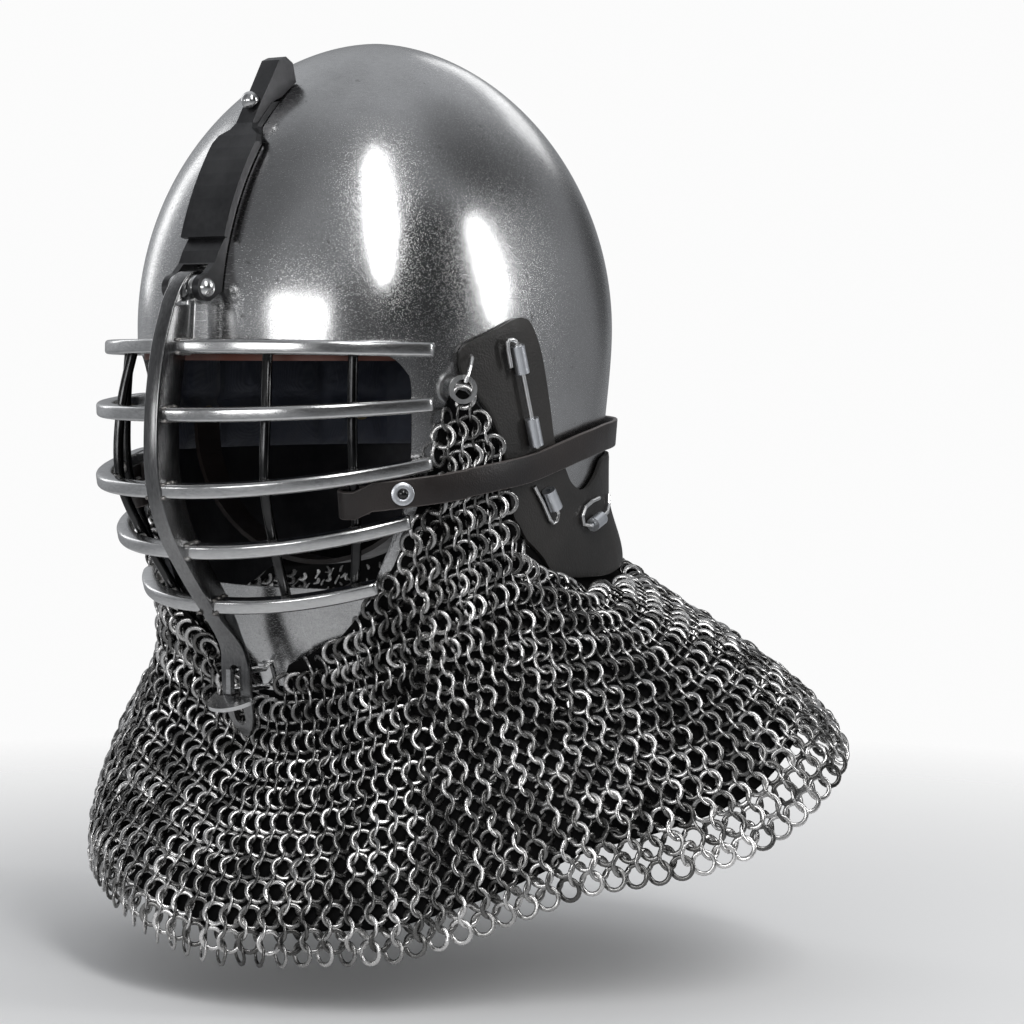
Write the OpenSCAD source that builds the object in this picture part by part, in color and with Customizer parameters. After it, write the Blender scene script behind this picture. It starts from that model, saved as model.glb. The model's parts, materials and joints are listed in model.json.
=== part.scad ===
// Fighting bascinet: round steel skull, bar-grill visor on a forehead hinge, and a mail
// aventail on a leather band. The wearer faces -Y, +X is the wearer's left, +Z is up.
// The origin is the middle of the head at the widest level of the skull.

/* [Skull] */
// Half width of the skull at its widest level
skull_half_width = 108; // [104:1:112]
// Half length of the skull, brow to back
skull_half_length = 125.5; // [122:0.5:129]
// Height of the crown above the widest level
skull_rise = 146; // [140:1:150]
// Sheet thickness of the skull and the chin plate
sheet_t = 2; // [1.6:0.1:2.4]
// Level of the brow edge, the top of the face window
brow_z = -10; // [-12:1:-8]

/* [Visor] */
// Height of each grill bar
bar_h = 7; // [6:0.5:8]
// Depth of each grill bar, front to back
bar_d = 8; // [7:0.5:8.5]
// Diameter of the upright rods
rod_d = 5; // [4:0.5:5.5]
// Width of the spine bar
spine_w = 9.6; // [8:0.2:11]
// Width of the hasp plate at the spine's lower end
hasp_w = 19; // [17:1:21]
// Radius of the half-moon thumb tab
tab_r = 14.3; // [12:0.1:15]

/* [Hinge] */
// Hinge pin diameter
pin_d = 6; // [5:0.5:7]
// Outer radius of the hinge eyes
eye_r = 6.5; // [6:0.1:6.8]
// Outer width of the fork
fork_w = 25; // [23:0.5:27]
// Thickness of each fork ear
ear_t = 3.9; // [3:0.1:4.2]
// Width of the keeper plate
keeper_w = 30; // [26:1:32]

/* [Leather] */
// Thickness of the mounting band
band_t = 3; // [2.5:0.1:3.2]
// Thickness of the retaining strap
strap_t = 2.3; // [2:0.1:2.4]
// Height of the retaining strap
strap_h = 14; // [12:0.5:14]

/* [Mail] */
// Outside thickness of the mail curtain
mail_t = 5; // [4:0.5:5.5]

/* [Hidden] */
$fn = 48;

plan_power = 2.3;                     // squareness of the skull seen from above
dome_power = 0.54;                    // fullness of the dome seen from the side
chin_taper = 0.115;                   // how fast the front draws in below the widest level
cheek_taper = 0.03;                   // the same at the cheeks
nape_waist = 0.041;                   // how much the back draws in above the nape
gap = 0.3;                            // air between pieces that lie on each other
pin_y = -134.4;
pin_z = 20;
rivet_z = 105;                        // where the keeper rivet sits

// Grill bars: front reach, half width, height at the front, rise angle to the rear, end azimuth
BARS = [[148, 115, -8, -1.3, 53], [157.3, 111.8, -40.7, 3.2, 53], [158.2, 110.5, -77.4, 8.7, 53.2],
    [142.7, 108.5, -107.3, 13.5, 48.5], [124.1, 104.5, -135, 17, 41]];

// Upright rods of the left side: one point per bar, front rod then rear rod
ROD_FRONT = [[46, -10], [50, -39], [49.7, -73], [44.5, -103], [38.5, -129]];
ROD_REAR = [[77, -13], [78, -38], [78, -67], [74, -95], [66, -122]];

// Lower edge of the skull on one side: azimuth, height, azimuth at the crown
SKULL_EDGE = [[0, brow_z, 0], [30, brow_z, 28], [42, brow_z - 1, 40], [46.5, brow_z - 5, 45],
    [49.7, brow_z - 13, 50], [50, -45, 56], [50, -66, 61], [48.6, -92, 66], [44, -111, 71],
    [41, -125, 76], [40, -142, 81], [44, -156, 87], [60, -158, 95], [78, -150, 105],
    [98, -132, 118], [125, -112, 135], [150, -102, 155], [180, -98, 180]];

// Mounting band: azimuth, top edge, bottom edge
BAND_EDGE = [[61.8, -11.5, -16.5], [63.2, -7.4, -24], [66, -5, -30], [71, -1, -42], [75, 2, -58],
    [79, 5, -88], [82, 5.6, -96], [85, 2.3, -103], [88.8, -11.5, -108], [92.4, -36, -113],
    [95, -55, -118], [98, -65, -121], [100.5, -69, -122], [103.6, -76, -123.5], [108, -80, -124.5],
    [112, -80.3, -124.8], [115.4, -78, -125], [120, -73, -125], [125, -66.5, -124], [133, -64, -121.5],
    [150, -63, -117], [180, -62, -114]];

// Mail: azimuth, top edge, bottom edge, level where it leaves the helmet, hem radius
MAIL_EDGE = [[0, -181, -304, -182, 142], [8, -180, -303.5, -181, 142], [10.5, -167, -303, -178, 142],
    [18, -162.5, -300, -176, 142.5], [31, -152, -295, -172, 144], [38.6, -137, -293, -168, 146],
    [46, -117, -291, -160, 148.5], [51.2, -91, -287, -152, 150.5], [55.8, -66, -284, -140, 152],
    [57, -45, -283, -136, 152.5], [60, -31, -281, -134, 153.5], [62.5, -29, -279.5, -132.5, 155],
    [66, -34, -276, -130, 158], [71, -46, -272, -127, 164], [75, -62, -268, -124, 169],
    [79, -92, -265, -122, 176], [85, -107, -265, -120, 190], [92, -116, -262, -119.5, 208],
    [100, -125, -251, -126, 228], [108, -127.5, -229, -128, 244], [116, -128, -214, -128.5, 246],
    [128, -126, -212, -126.5, 235], [145, -121, -222, -121.5, 205], [160, -118, -231, -118.5, 184],
    [180, -117, -236, -117.5, 174]];

// Strap: azimuth, height of its middle, distance of its inner face from the skull
STRAP_LINE = [[36, -81.2, 8.6], [44, -79, 8.6], [50, -77.4, 8.6], [58, -75.4, 8.6], [66, -72.5, 8.6],
    [74, -70.2, 7.9], [80, -68.8, 6.6], [86, -66.9, 5.2], [93, -63.8, 4.2], [105, -58.8, 3.9],
    [120, -54.5, 3.9], [140, -52.5, 3.9], [180, -51, 3.9]];

// ---------------------------------------------------------------- helpers
function clamp01(t) = min(1, max(0, t));
function ease(t, from, to) = let (u = clamp01((t - from) / (to - from))) u * u * (3 - 2 * u);
function column(table, k) = [for (row = table) [row[0], row[k]]];
function along(table, k, azimuth) = lookup(abs(azimuth), column(table, k));

// Plan radius of the rounded oval with half axes a (sideways) and b (fore and aft)
function oval(azimuth, a, b) = 1 / pow(pow(abs(sin(azimuth)) / a, plan_power)
    + pow(abs(cos(azimuth)) / b, plan_power), 1 / plan_power);

// Size of the skull's plan at height z, as a share of its widest plan
function share(azimuth, z) = z > 0
    ? pow(1 - pow(min(z, skull_rise) / skull_rise, 2), dome_power)
    : let (back = ease(abs(azimuth), 85, 130),
        taper = chin_taper + (cheek_taper - chin_taper) * ease(abs(azimuth), 25, 60))
        1 - (1 - back) * taper * pow(z / 100, 2) - back * nape_waist * ease(-z, 0, 72);

function skin_r(azimuth, z, off) = oval(azimuth, skull_half_width * share(azimuth, z) + off,
    skull_half_length * share(azimuth, z) + off);

function polar(azimuth, r, z) = [r * sin(azimuth), -r * cos(azimuth), z];

// A point at distance off outside the skull's outer face
function skin(azimuth, z, off) = polar(azimuth, skin_r(azimuth, z, off),
    z > 0 ? z * (1 + off / skull_rise) : z);

// The point of a table that divides it evenly, share t from 0 to 1
function table_at(table, t) = let (p = t * (len(table) - 1), k = min(floor(p), len(table) - 2))
    table[k] + (p - k) * (table[k + 1] - table[k]);

// A closed sheet between an outer and an inner grid of points, rows running down
module sheet(outer, inner, ring = false, crown = false) {
    rows = len(outer);
    cols = len(outer[0]);
    base = rows * cols;
    last = ring ? cols - 1 : cols - 2;
    next = [for (j = [0 : cols - 1]) (j + 1) % cols];
    points = concat([for (row = outer) each row], [for (row = inner) each row],
        crown ? [[0, 0, outer[0][0][2]], [0, 0, inner[0][0][2]]] : []);
    faces_out = [for (i = [0 : rows - 2], j = [0 : last], half = [0, 1])
        let (a = i * cols + j, b = i * cols + next[j], c = b + cols, d = a + cols)
        half == 0 ? [a, b, c] : [a, c, d]];
    faces_in = [for (f = faces_out) [f[0] + base, f[2] + base, f[1] + base]];
    edge_top = crown
        ? [for (j = [0 : last]) each [[2 * base, next[j], j], [2 * base + 1, base + j, base + next[j]]]]
        : [for (j = [0 : last]) each [[j, base + j, base + next[j]], [j, base + next[j], next[j]]]];
    low = (rows - 1) * cols;
    edge_low = [for (j = [0 : last]) each [[low + j, low + next[j], base + low + next[j]],
        [low + j, base + low + next[j], base + low + j]]];
    sides = ring ? [] : [for (i = [0 : rows - 2], right = [0, 1])
        let (j = right * (cols - 1), a = i * cols + j, d = (i + 1) * cols + j)
        each right == 0 ? [[base + a, a, d], [base + a, d, base + d]]
            : [[a, base + a, base + d], [a, base + d, d]]];
    polyhedron(points, concat(faces_out, faces_in, edge_top, edge_low, sides), convexity = 6);
}

// A piece outlined in the middle plane (y, z) and w wide
module slab(outline, w) {
    rotate([90, 0, 90]) linear_extrude(w, center = true) polygon(outline);
}

// A piece outlined from the front (x, z) and running through in depth
module front_cut(outline) {
    rotate([90, 0, 0]) linear_extrude(600, center = true) polygon(outline);
}

module rod(a, b, d) {
    v = b - a;
    translate(a) rotate([0, acos(v[2] / norm(v)), atan2(v[1], v[0])]) cylinder(h = norm(v), d = d, $fn = 24);
}

// Everything on the wearer's left, copied to the right
module mirrored(side) {
    if (side > 0) children();
    else mirror([1, 0, 0]) children();
}

// Places a child on the skull: its z axis points out of the surface, its y axis up
module on_skin(azimuth, z, off) {
    p = skin(azimuth, z, off);
    a = skin(azimuth + 1, z, off) - skin(azimuth - 1, z, off);
    translate(p) rotate([0, 0, atan2(a[1], a[0])]) rotate([90, 0, 0]) children();
}

// ---------------------------------------------------------------- skull
skull_rows = 18;
dome_start = 5;                       // degrees from the crown to the first row

// Meridian angle that gives height z, so that rows are evenly spaced over the dome
function meridian(z) = z >= 0 ? acos(z / skull_rise) : 90 - z / skull_rise * 180 / PI;
function meridian_z(m) = m <= 90 ? skull_rise * cos(m) : -skull_rise * (m - 90) * PI / 180;

function skull_point(edge, t, off) = let (
    azimuth = edge[2] + (edge[0] - edge[2]) * pow(clamp01((t - 0.1) / 0.9), 2),
    z = meridian_z(dome_start + (meridian(edge[1]) - dome_start) * t))
    skin(azimuth, z, off);

skull_half = [for (i = [0 : 34]) table_at(SKULL_EDGE, i / 34)];
skull_rim = concat([for (i = [33 : -1 : 1]) [-skull_half[i][0], skull_half[i][1], -skull_half[i][2]]],
    skull_half);

module skull() {
    color([0.66, 0.66, 0.67])
    sheet([for (i = [0 : skull_rows]) [for (e = skull_rim) skull_point(e, i / skull_rows, 0)]],
        [for (i = [0 : skull_rows]) [for (e = skull_rim) skull_point(e, i / skull_rows, -sheet_t)]],
        ring = true, crown = true);
}

chin_top = -126;
chin_low = -180;

// The chin plate stands back from the skull's line in the middle, with a crease up its centre
function chin_off(azimuth, z) = -sheet_t - inner_gap - 0.5
    - (6.7 * (z - chin_low) / (chin_top - chin_low)) * (1 - ease(abs(azimuth), 12, 40))
    + 2.2 * (1 - min(1, abs(azimuth) / 24));

module chin_plate() {
    color([0.66, 0.66, 0.67])
    sheet([for (i = [0 : 5]) [for (a = [-52 : 4 : 52]) let (z = chin_top + (chin_low - chin_top) * i / 5)
            skin(a, z, chin_off(a, z))]],
        [for (i = [0 : 5]) [for (a = [-52 : 4 : 52]) let (z = chin_top + (chin_low - chin_top) * i / 5)
            skin(a, z, chin_off(a, z) - sheet_t)]]);
}

// The staple stands out of the chin plate and through the slot of the hasp
staple_z = -172.5;
module chin_staple() {
    color([0.6, 0.6, 0.6]) {
        for (z = [staple_z - 4.5, staple_z + 4.5])
            translate([0, -81.8, z]) rotate([90, 0, 0]) cylinder(h = 26.2, d = 3, $fn = 24);
        translate([0, -108, staple_z]) cube([3, 3, 12], center = true);
        translate([0, -81.3, staple_z]) rotate([20.5, 0, 0]) cube([8, 2, 15], center = true);
    }
}

// ---------------------------------------------------------------- inside
inner_gap = 1.3;                      // air between the skull and what lies inside it

// Sewn pads in three gores over the brow and four on each side, four pads to a gore
module one_pad(from, to, top, low, off) {
    gap_a = 0.25;
    turns = [for (i = [0 : 3]) from + gap_a + (to - from - 2 * gap_a) * i / 3];
    falls = [for (i = [0 : 3]) top + 0.2 + (low - top - 0.4) * i / 3];
    sheet([for (m = falls) [for (a = turns) skin(a, meridian_z(m), -sheet_t - inner_gap)]],
        [for (m = falls) [for (a = turns) skin(a, meridian_z(m), -sheet_t - inner_gap - off)]]);
}

module liner_pad() {
    edges = [-180, -148, -116, -84, -52, -17.3, 17.3, 52, 84, 116, 148, 180];
    color([0.09, 0.09, 0.1])
    for (k = [0 : 10]) {
        low = meridian(edges[k] >= -52 && edges[k + 1] <= 52 ? 5 : -62);
        for (i = [0 : 3])
            one_pad(edges[k], edges[k + 1], 16 + (low - 16) * i / 4, 16 + (low - 16) * (i + 1) / 4, 11.5);
    }
}

module brow_band() {
    color([0.33, 0.13, 0.09])
    sheet([for (z = [3, -6, -15]) [for (a = [-47 : 4.7 : 47.1]) skin(a, z, -sheet_t - inner_gap - 0.7)]],
        [for (z = [3, -6, -15]) [for (a = [-47 : 4.7 : 47.1]) skin(a, z, -sheet_t - inner_gap - 3)]]);
}

module liner_rivets() {
    color([0.55, 0.5, 0.4])
    for (a = [-132, -68, 68, 132]) on_skin(a, -44, -sheet_t - inner_gap - 11.5) {
        translate([0, 0, -2.4]) cylinder(h = 1.4, d = 9);
    }
}

chin_strap_x = 84;
chin_strap_y = -42;
chin_strap_z = -50;
chin_drop = 68;

function chin_curve(inset) = concat([[chin_strap_x - inset, chin_strap_z + 6]],
    [for (a = [0 : 6 : 180]) [(chin_strap_x - inset) * cos(a), chin_strap_z - (chin_drop - inset) * sin(a)]],
    [[inset - chin_strap_x, chin_strap_z + 6]]);

module chin_strap() {
    inner = chin_curve(2.4);
    color([0.12, 0.1, 0.1])
    translate([0, chin_strap_y, 0]) rotate([90, 0, 0]) linear_extrude(16, center = true)
        polygon(concat(chin_curve(0), [for (i = [len(inner) - 1 : -1 : 0]) inner[i]]));
}

module chin_strap_rivets() {
    color([0.6, 0.6, 0.6])
    for (s = [-1, 1]) translate([s * (chin_strap_x + 1.2), chin_strap_y, chin_strap_z]) rotate([0, 90, 0])
        cylinder(h = 2.2, d = 7, center = true);
}

module chin_buckle() {
    color([0.6, 0.6, 0.6])
    translate([74, chin_strap_y, -84.9]) rotate([0, 35.5, 0]) difference() {
        cube([2, 24, 18], center = true);
        cube([3, 17, 11], center = true);
    }
}

// ---------------------------------------------------------------- hinge
// The skull's middle line at height z, moved out along its normal
function brow(z, off) = let (
    a = [skull_half_length * share(0, z - 1), z - 1], b = [skull_half_length * share(0, z + 1), z + 1],
    t = (b - a) / norm(b - a))
    [-skull_half_length * share(0, z) - t[1] * off, z - t[0] * off];

leaf_t = 3;
leaf_top = 112;
lip_z = 43;
fork_z = pin_z + 11.4;         // the leaf's middle ends here, above the knuckle

module leaf_profile() {
    polygon(concat([for (z = [leaf_top : -6 : 28]) brow(z, gap)], [[pin_y + 9.6, 18], [pin_y + 3, pin_z - 5]],
        [[pin_y - 5.2, pin_z + 4], [pin_y + 0.4, 27.2], [pin_y + 5, 32], [pin_y + 7.8, 38]],
        [for (z = [lip_z : 6 : leaf_top]) brow(z, gap + leaf_t)]));
}

module hinge_leaf() {
    w = fork_w / 2;
    n = fork_w / 2 - ear_t;
    color([0.4, 0.4, 0.41])
    difference() {
        intersection() {
            rotate([90, 0, 90]) linear_extrude(keeper_w, center = true) difference() {
                union() {
                    leaf_profile();
                    translate([pin_y, pin_z]) circle(r = eye_r);
                }
                translate([pin_y, pin_z]) circle(d = pin_d + 0.06);
            }
            front_cut([[-w, 0], [-n, 0], [-n, fork_z], [n, fork_z], [n, 0], [w, 0], [w, 90], [6, 99],
                [6, 125], [-6, 125], [-6, 99], [-w, 90]]);
        }
        rivet_bore();
    }
}

// The keeper lies on the leaf and ends in a raised wedge at the crown
module hinge_keeper_plate() {
    under = gap + leaf_t + 0.05;
    color([0.3, 0.3, 0.31])
    difference() {
        intersection() {
            slab(concat([for (z = [lip_z : 6 : 109]) brow(z, under)], [brow(114, under - 2.6), brow(122, 0.5)],
                [[-68.5, 131.5], [-73.5, 134.4], [-78, 132.6]],
                [for (z = [97 : -6 : lip_z]) brow(z, under + 3)]), keeper_w);
            front_cut([[-keeper_w / 2, 0], [keeper_w / 2, 0], [keeper_w / 2, 91], [keeper_w / 2 - 2, 95],
                [7.4, 98], [5.6, 101], [5.6, 106], [6.2, 140], [-6.2, 140], [-5.6, 106], [-5.6, 101],
                [-7.4, 98], [-keeper_w / 2 + 2, 95], [-keeper_w / 2, 91]]);
        }
        rivet_bore();
    }
}

rivet_at = brow(rivet_z, 0);
rivet_lean = let (a = brow(rivet_z, 0), b = brow(rivet_z, 1)) atan2(-(b[0] - a[0]), b[1] - a[1]);

// Places a child on the rivet's axis, which points out of the skull
module rivet_axis() {
    translate([0, rivet_at[0], rivet_at[1]]) rotate([rivet_lean, 0, 0]) children();
}

module rivet_bore() {
    rivet_axis() translate([0, 0, -20]) cylinder(h = 40, d = 4.6);
}

module keeper_rivet() {
    head = gap + leaf_t + 4.6;
    color([0.75, 0.75, 0.75])
    rivet_axis() {
        translate([0, 0, 0.1]) cylinder(h = head + 1.6, d = 4.5);
        translate([0, 0, head + 1.4]) rotate_extrude() intersection() {
            translate([0, 1]) circle(r = 4.6);
            square([6, 6]);
        }
    }
}

module hinge_pin() {
    color([0.75, 0.75, 0.75])
    translate([0, pin_y, pin_z]) rotate([0, 90, 0]) {
        cylinder(h = fork_w + 0.2, d = pin_d, center = true);
        for (s = [0, 180]) rotate([s, 0, 0]) translate([0, 0, fork_w / 2 + 0.1])
            rotate_extrude() intersection() {
                translate([0, -2.2]) circle(r = 5.2);
                square([6, 6]);
            }
    }
}

// ---------------------------------------------------------------- visor
// Spine, seen from the side: its front edge from the hook over the hinge to the hasp, then its rear edge
SPINE_FRONT = [[-130.5, 27.6], [-134.6, 28.2], [-139.5, 26.2], [-145, 20], [-149.6, 11], [-155.7, -7.5],
    [-160, -33], [-161.3, -57.5], [-160, -74], [-156.4, -88], [-150.5, -101], [-143.4, -112],
    [-133, -126], [-121.5, -140], [-111.5, -151], [-107, -158], [-105.4, -166], [-104.6, -178],
    [-101.6, -190], [-97.2, -200.5]];
SPINE_REAR = [[-94.2, -199.2], [-98.6, -189], [-101.4, -178], [-102, -166], [-103.4, -157], [-106, -149],
    [-108.5, -141], [-114, -130], [-123, -117], [-130.5, -105.5], [-136.5, -95], [-141.5, -83],
    [-144.8, -70], [-145.6, -57], [-144.6, -34], [-140.4, -8], [-138.6, 4], [-137.8, 13.4]];

spine_side = concat([for (p = SPINE_FRONT) p], [for (p = SPINE_REAR) p], [[-133, 27]]);

module spine_outline() {
    w = spine_w / 2;
    h = hasp_w / 2;
    polygon([[-w, 60], [w, 60], [w, -140], [w + 1.2, -147], [h - 1.5, -157], [h, -164], [h, -184],
        [h - 1.2, -191], [h - 3.6, -196.4], [h - 7, -199.4], [-h + 7, -199.4],
        [-h + 3.6, -196.4], [-h + 1.2, -191], [-h, -184], [-h, -164], [-h + 1.5, -157],
        [-w - 1.2, -147], [-w, -140]]);
}

slot_w = 7.2;
slot_top = -164.5;
slot_low = -194.6;

module visor_spine() {
    color([0.5, 0.5, 0.51])
    difference() {
        intersection() {
            slab(spine_side, 30);
            rotate([90, 0, 0]) linear_extrude(600, center = true) difference() {
                spine_outline();
                for (z = [slot_top - slot_w / 2, slot_low + slot_w / 2]) translate([0, z]) circle(d = slot_w);
                translate([-slot_w / 2, slot_low + slot_w / 2]) square([slot_w, slot_top - slot_low - slot_w]);
            }
        }
        translate([0, pin_y, pin_z]) rotate([0, 90, 0]) cylinder(h = 60, r = eye_r, center = true);
    }
}

// The knuckle turns on the pin; a round neck runs from it down to the first bar
module visor_knuckle() {
    color([0.5, 0.5, 0.51])
    difference() {
        union() {
            translate([0, pin_y, pin_z]) rotate([0, 90, 0])
                cylinder(h = fork_w - 2 * ear_t - 0.6, r = eye_r - 0.05, center = true);
            intersection() {
                rod([0, pin_y, pin_z - 2], [0, pin_y - 1.6, -7], 7);
                translate([-20, pin_y - 20, -5]) cube([40, 40, 40]);
            }
        }
        translate([0, pin_y, pin_z]) rotate([0, 90, 0]) cylinder(h = 60, d = pin_d + 0.1, center = true);
        slab(concat([for (p = SPINE_FRONT) p + [-0.05, 0]], [for (p = SPINE_REAR) p + [0.05, 0]]),
            spine_w + 0.1);
    }
}

tab_lean = 20;                        // the thumb tab dips forward
module thumb_tab() {
    color([0.45, 0.45, 0.46])
    translate([0, -104.5, -181]) rotate([tab_lean, 0, 0]) difference() {
        cylinder(h = 2, r = tab_r, center = true, $fn = 64);
        translate([-20, 0, -5]) cube([40, 40, 10]);
    }
}

// One grill bar: two curved halves that butt on the sides of the spine
module grill_bar(k) {
    bar = BARS[k];
    end = bar[4];
    steps = 18;
    start = 1.2;
    arc = [for (i = [0 : steps]) start + (end - start) * i / steps];
    mid = polar(end, oval(end, bar[1] - bar_d / 2, bar[0] - bar_d / 2), 0);
    inside = [for (i = [steps : -1 : 0]) polar(arc[i], oval(arc[i], bar[1] - bar_d, bar[0] - bar_d), 0)];
    color([0.62, 0.62, 0.63])
    translate([0, -bar[0], bar[2]]) rotate([bar[3], 0, 0]) translate([0, bar[0], 0])
    for (s = [1, -1]) mirrored(s) difference() {
        linear_extrude(bar_h, center = true) {
            polygon(concat([for (a = arc) let (p = polar(a, oval(a, bar[1], bar[0]), 0)) [p[0], p[1]]],
                [for (p = inside) [p[0], p[1]]]));
            translate([mid[0], mid[1]]) circle(d = bar_d);
        }
        translate([0, -bar[0], 0]) cube([spine_w + 0.1, 60, 30], center = true);
    }
}

module grill_bar_1() { grill_bar(0); }
module grill_bar_2() { grill_bar(1); }
module grill_bar_3() { grill_bar(2); }
module grill_bar_4() { grill_bar(3); }
module grill_bar_5() { grill_bar(4); }

// The point of a rod just behind bar k, at distance x from the middle plane
function behind_bar(k, x) = let (back = bar_d + rod_d / 2 + 0.3, b = BARS[k][0] - back, a = BARS[k][1] - back,
    y = -b * pow(1 - pow(x / a, plan_power), 1 / plan_power), lean = BARS[k][3])
    [x, -BARS[k][0] + (y + BARS[k][0]) * cos(lean), BARS[k][2] + (y + BARS[k][0]) * sin(lean)];

// A round bar through a row of points, one ring of corners at each
module bent_rod(points, d, sides = 16, ref = [0, 1, 0]) {
    n = len(points);
    function way(k) = let (v = points[min(k + 1, n - 1)] - points[max(k - 1, 0)]) v / norm(v);
    function across(k) = let (v = cross(way(k), ref)) v / norm(v);
    rings = [for (k = [0 : n - 1]) let (u = across(k), v = cross(way(k), u))
        each [for (i = [0 : sides - 1]) let (t = i * 360 / sides)
            points[k] + d / 2 * (cos(t) * u + sin(t) * v)]];
    walls = [for (k = [0 : n - 2], i = [0 : sides - 1]) let (j = (i + 1) % sides)
        let (a = k * sides, b = a + sides)
        each [[a + i, b + i, b + j], [a + i, b + j, a + j]]];
    tip = (n - 1) * sides;
    ends = [for (i = [1 : sides - 2]) each [[0, i, i + 1], [tip, tip + i + 1, tip + i]]];
    polyhedron(rings, concat(walls, ends));
}

function beyond(a, b, d) = a + d * (a - b) / norm(a - b);

module upright(table) {
    p = [for (k = [0 : 4]) behind_bar(k, table[k][0])];
    color([0.25, 0.25, 0.26])
    bent_rod([beyond(p[0], p[1], 3), p[1], p[2], p[3], beyond(p[4], p[3], 3)], rod_d);
}

module rod_front_left() { upright(ROD_FRONT); }
module rod_rear_left() { upright(ROD_REAR); }
module rod_front_right() { mirror([1, 0, 0]) upright(ROD_FRONT); }
module rod_rear_right() { mirror([1, 0, 0]) upright(ROD_REAR); }

// ---------------------------------------------------------------- strap
loop_a = behind_bar(2, ROD_REAR[2][0]);
loop_b = behind_bar(3, ROD_REAR[3][0]);
loop_mid = (loop_a + loop_b) / 2;
tab_end = 62;                         // azimuth where the loop tab ends over the strap

function strap_z(azimuth) = along(STRAP_LINE, 1, azimuth);
function strap_off(azimuth) = along(STRAP_LINE, 2, azimuth);

// A strip of leather that follows the strap line between two azimuths
module strap_strip(from, to, lift, steps) {
    grid = [for (i = [0 : steps]) from + (to - from) * i / steps];
    faces = [for (t = [strap_t, 0]) [for (e = [1, -1]) [for (a = grid)
        skin(a, strap_z(a) + e * strap_h / 2, strap_off(a) + lift + t)]]];
    sheet(faces[0], faces[1]);
}

// Places a child on the axis of the rear rod between bars 3 and 4
module loop_axis() {
    v = loop_b - loop_a;
    translate(loop_mid) rotate([0, acos(v[2] / norm(v)), atan2(v[1], v[0])]) children();
}

module loop_tab() {
    inner = rod_d / 2 + gap;
    color([0.11, 0.09, 0.09]) {
        loop_axis() difference() {
            cylinder(h = strap_h, r = inner + strap_t, center = true);
            cylinder(h = strap_h + 2, r = inner, center = true);
        }
        difference() {
            strap_strip(38.6, tab_end, strap_t + gap, 15);
            loop_axis() cylinder(h = 60, r = inner, center = true);
        }
    }
}

module loop_tab_left() { loop_tab(); }
module loop_tab_right() { mirror([1, 0, 0]) loop_tab(); }

rivet_azimuth = 47.5;
module loop_rivet() {
    color([0.8, 0.8, 0.82])
    on_skin(rivet_azimuth, strap_z(rivet_azimuth), strap_off(rivet_azimuth) + 2 * strap_t + gap + 0.5) {
        cylinder(h = 1, d = 11);
        translate([0, 0, 0.9]) rotate_extrude() intersection() {
            translate([0, -1.6]) circle(r = 3.7);
            square([6, 6]);
        }
    }
}

module loop_rivet_left() { loop_rivet(); }
module loop_rivet_right() { mirror([1, 0, 0]) loop_rivet(); }

module strap_long() {
    color([0.11, 0.09, 0.09]) strap_strip(57.6, 259.8, 0, 68);
}

module strap_short() {
    color([0.11, 0.09, 0.09]) strap_strip(-92.8, -57.6, 0, 14);
}

buckle_azimuth = -96.5;
module buckle_frame() {
    color([0.7, 0.7, 0.7])
    on_skin(buckle_azimuth, strap_z(buckle_azimuth), strap_off(buckle_azimuth) + strap_t / 2) difference() {
        translate([0, 0, 0.4]) cube([13, strap_h + 8, 2.4], center = true);
        translate([0, 0, 0.4]) cube([9, strap_h + 3, 4], center = true);
    }
}

module buckle_prong() {
    color([0.7, 0.7, 0.7])
    on_skin(buckle_azimuth, strap_z(buckle_azimuth), strap_off(buckle_azimuth) + strap_t / 2) {
        translate([-3.2, 0, 2.8]) rotate([90, 0, 0]) cylinder(h = 4, d = 2.2, center = true, $fn = 24);
        translate([1.6, 0, 2.8]) cube([10, 1.8, 1.6], center = true);
    }
}

module strap_keeper() {
    color([0.11, 0.09, 0.09])
    on_skin(-67, strap_z(-67), strap_off(-67)) difference() {
        translate([0, 0, 1.3]) cube([8, strap_h + 5.6, strap_t + 3.4], center = true);
        translate([0, 0, 1.3]) cube([12, strap_h + 3.2, strap_t + 1.4], center = true);
    }
}

// ---------------------------------------------------------------- mounting band
band_half = [for (i = [0 : 36]) table_at(BAND_EDGE, i / 36)];
band_line = concat([for (r = band_half) r], [for (i = [35 : -1 : 0]) [360 - band_half[i][0], band_half[i][1],
    band_half[i][2]]]);

// The band flares off the skull at its lower edge round the back
function band_flare(azimuth, z) = 7 * ease(abs(azimuth > 180 ? 360 - azimuth : azimuth), 100, 135)
    * ease(-z, 84, 118);

function wrap(azimuth) = azimuth > 180 ? azimuth - 360 : azimuth;

module mounting_band() {
    color([0.2, 0.18, 0.17])
    sheet([for (i = [0 : 4]) [for (e = band_line) let (z = e[1] + (e[2] - e[1]) * i / 4)
            skin(wrap(e[0]), z, gap + band_t + band_flare(e[0], z))]],
        [for (i = [0 : 4]) [for (e = band_line) let (z = e[1] + (e[2] - e[1]) * i / 4)
            skin(wrap(e[0]), z, gap + 0.8 * ease(abs(wrap(e[0])), 80, 105) + band_flare(e[0], z))]]);
}

// Vervelles on one side: azimuth, height, lean of the tube
TUBES = [[78.7, -14.6, 8], [84, -50, 8], [91.9, -83.6, 34], [113.6, -96.7, -75]];
tube_d = 7;
tube_l = 14;                          // the two that the lock pin runs through
tube_short = 11;                      // the two lower ones
tube_off = gap + band_t + tube_d / 2 + 0.3;
lock_d = 2.4;

// A point on the band, at distance d out from its face
function on_band(azimuth, z, d) = skin(azimuth, z, gap + band_t + d + band_flare(azimuth, z));
function outward(azimuth) = [sin(azimuth), -cos(azimuth), 0];
function across_at(azimuth, z) = let (v = skin(azimuth + 1, z, tube_off) - skin(azimuth - 1, z, tube_off))
    v / norm(v);

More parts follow.
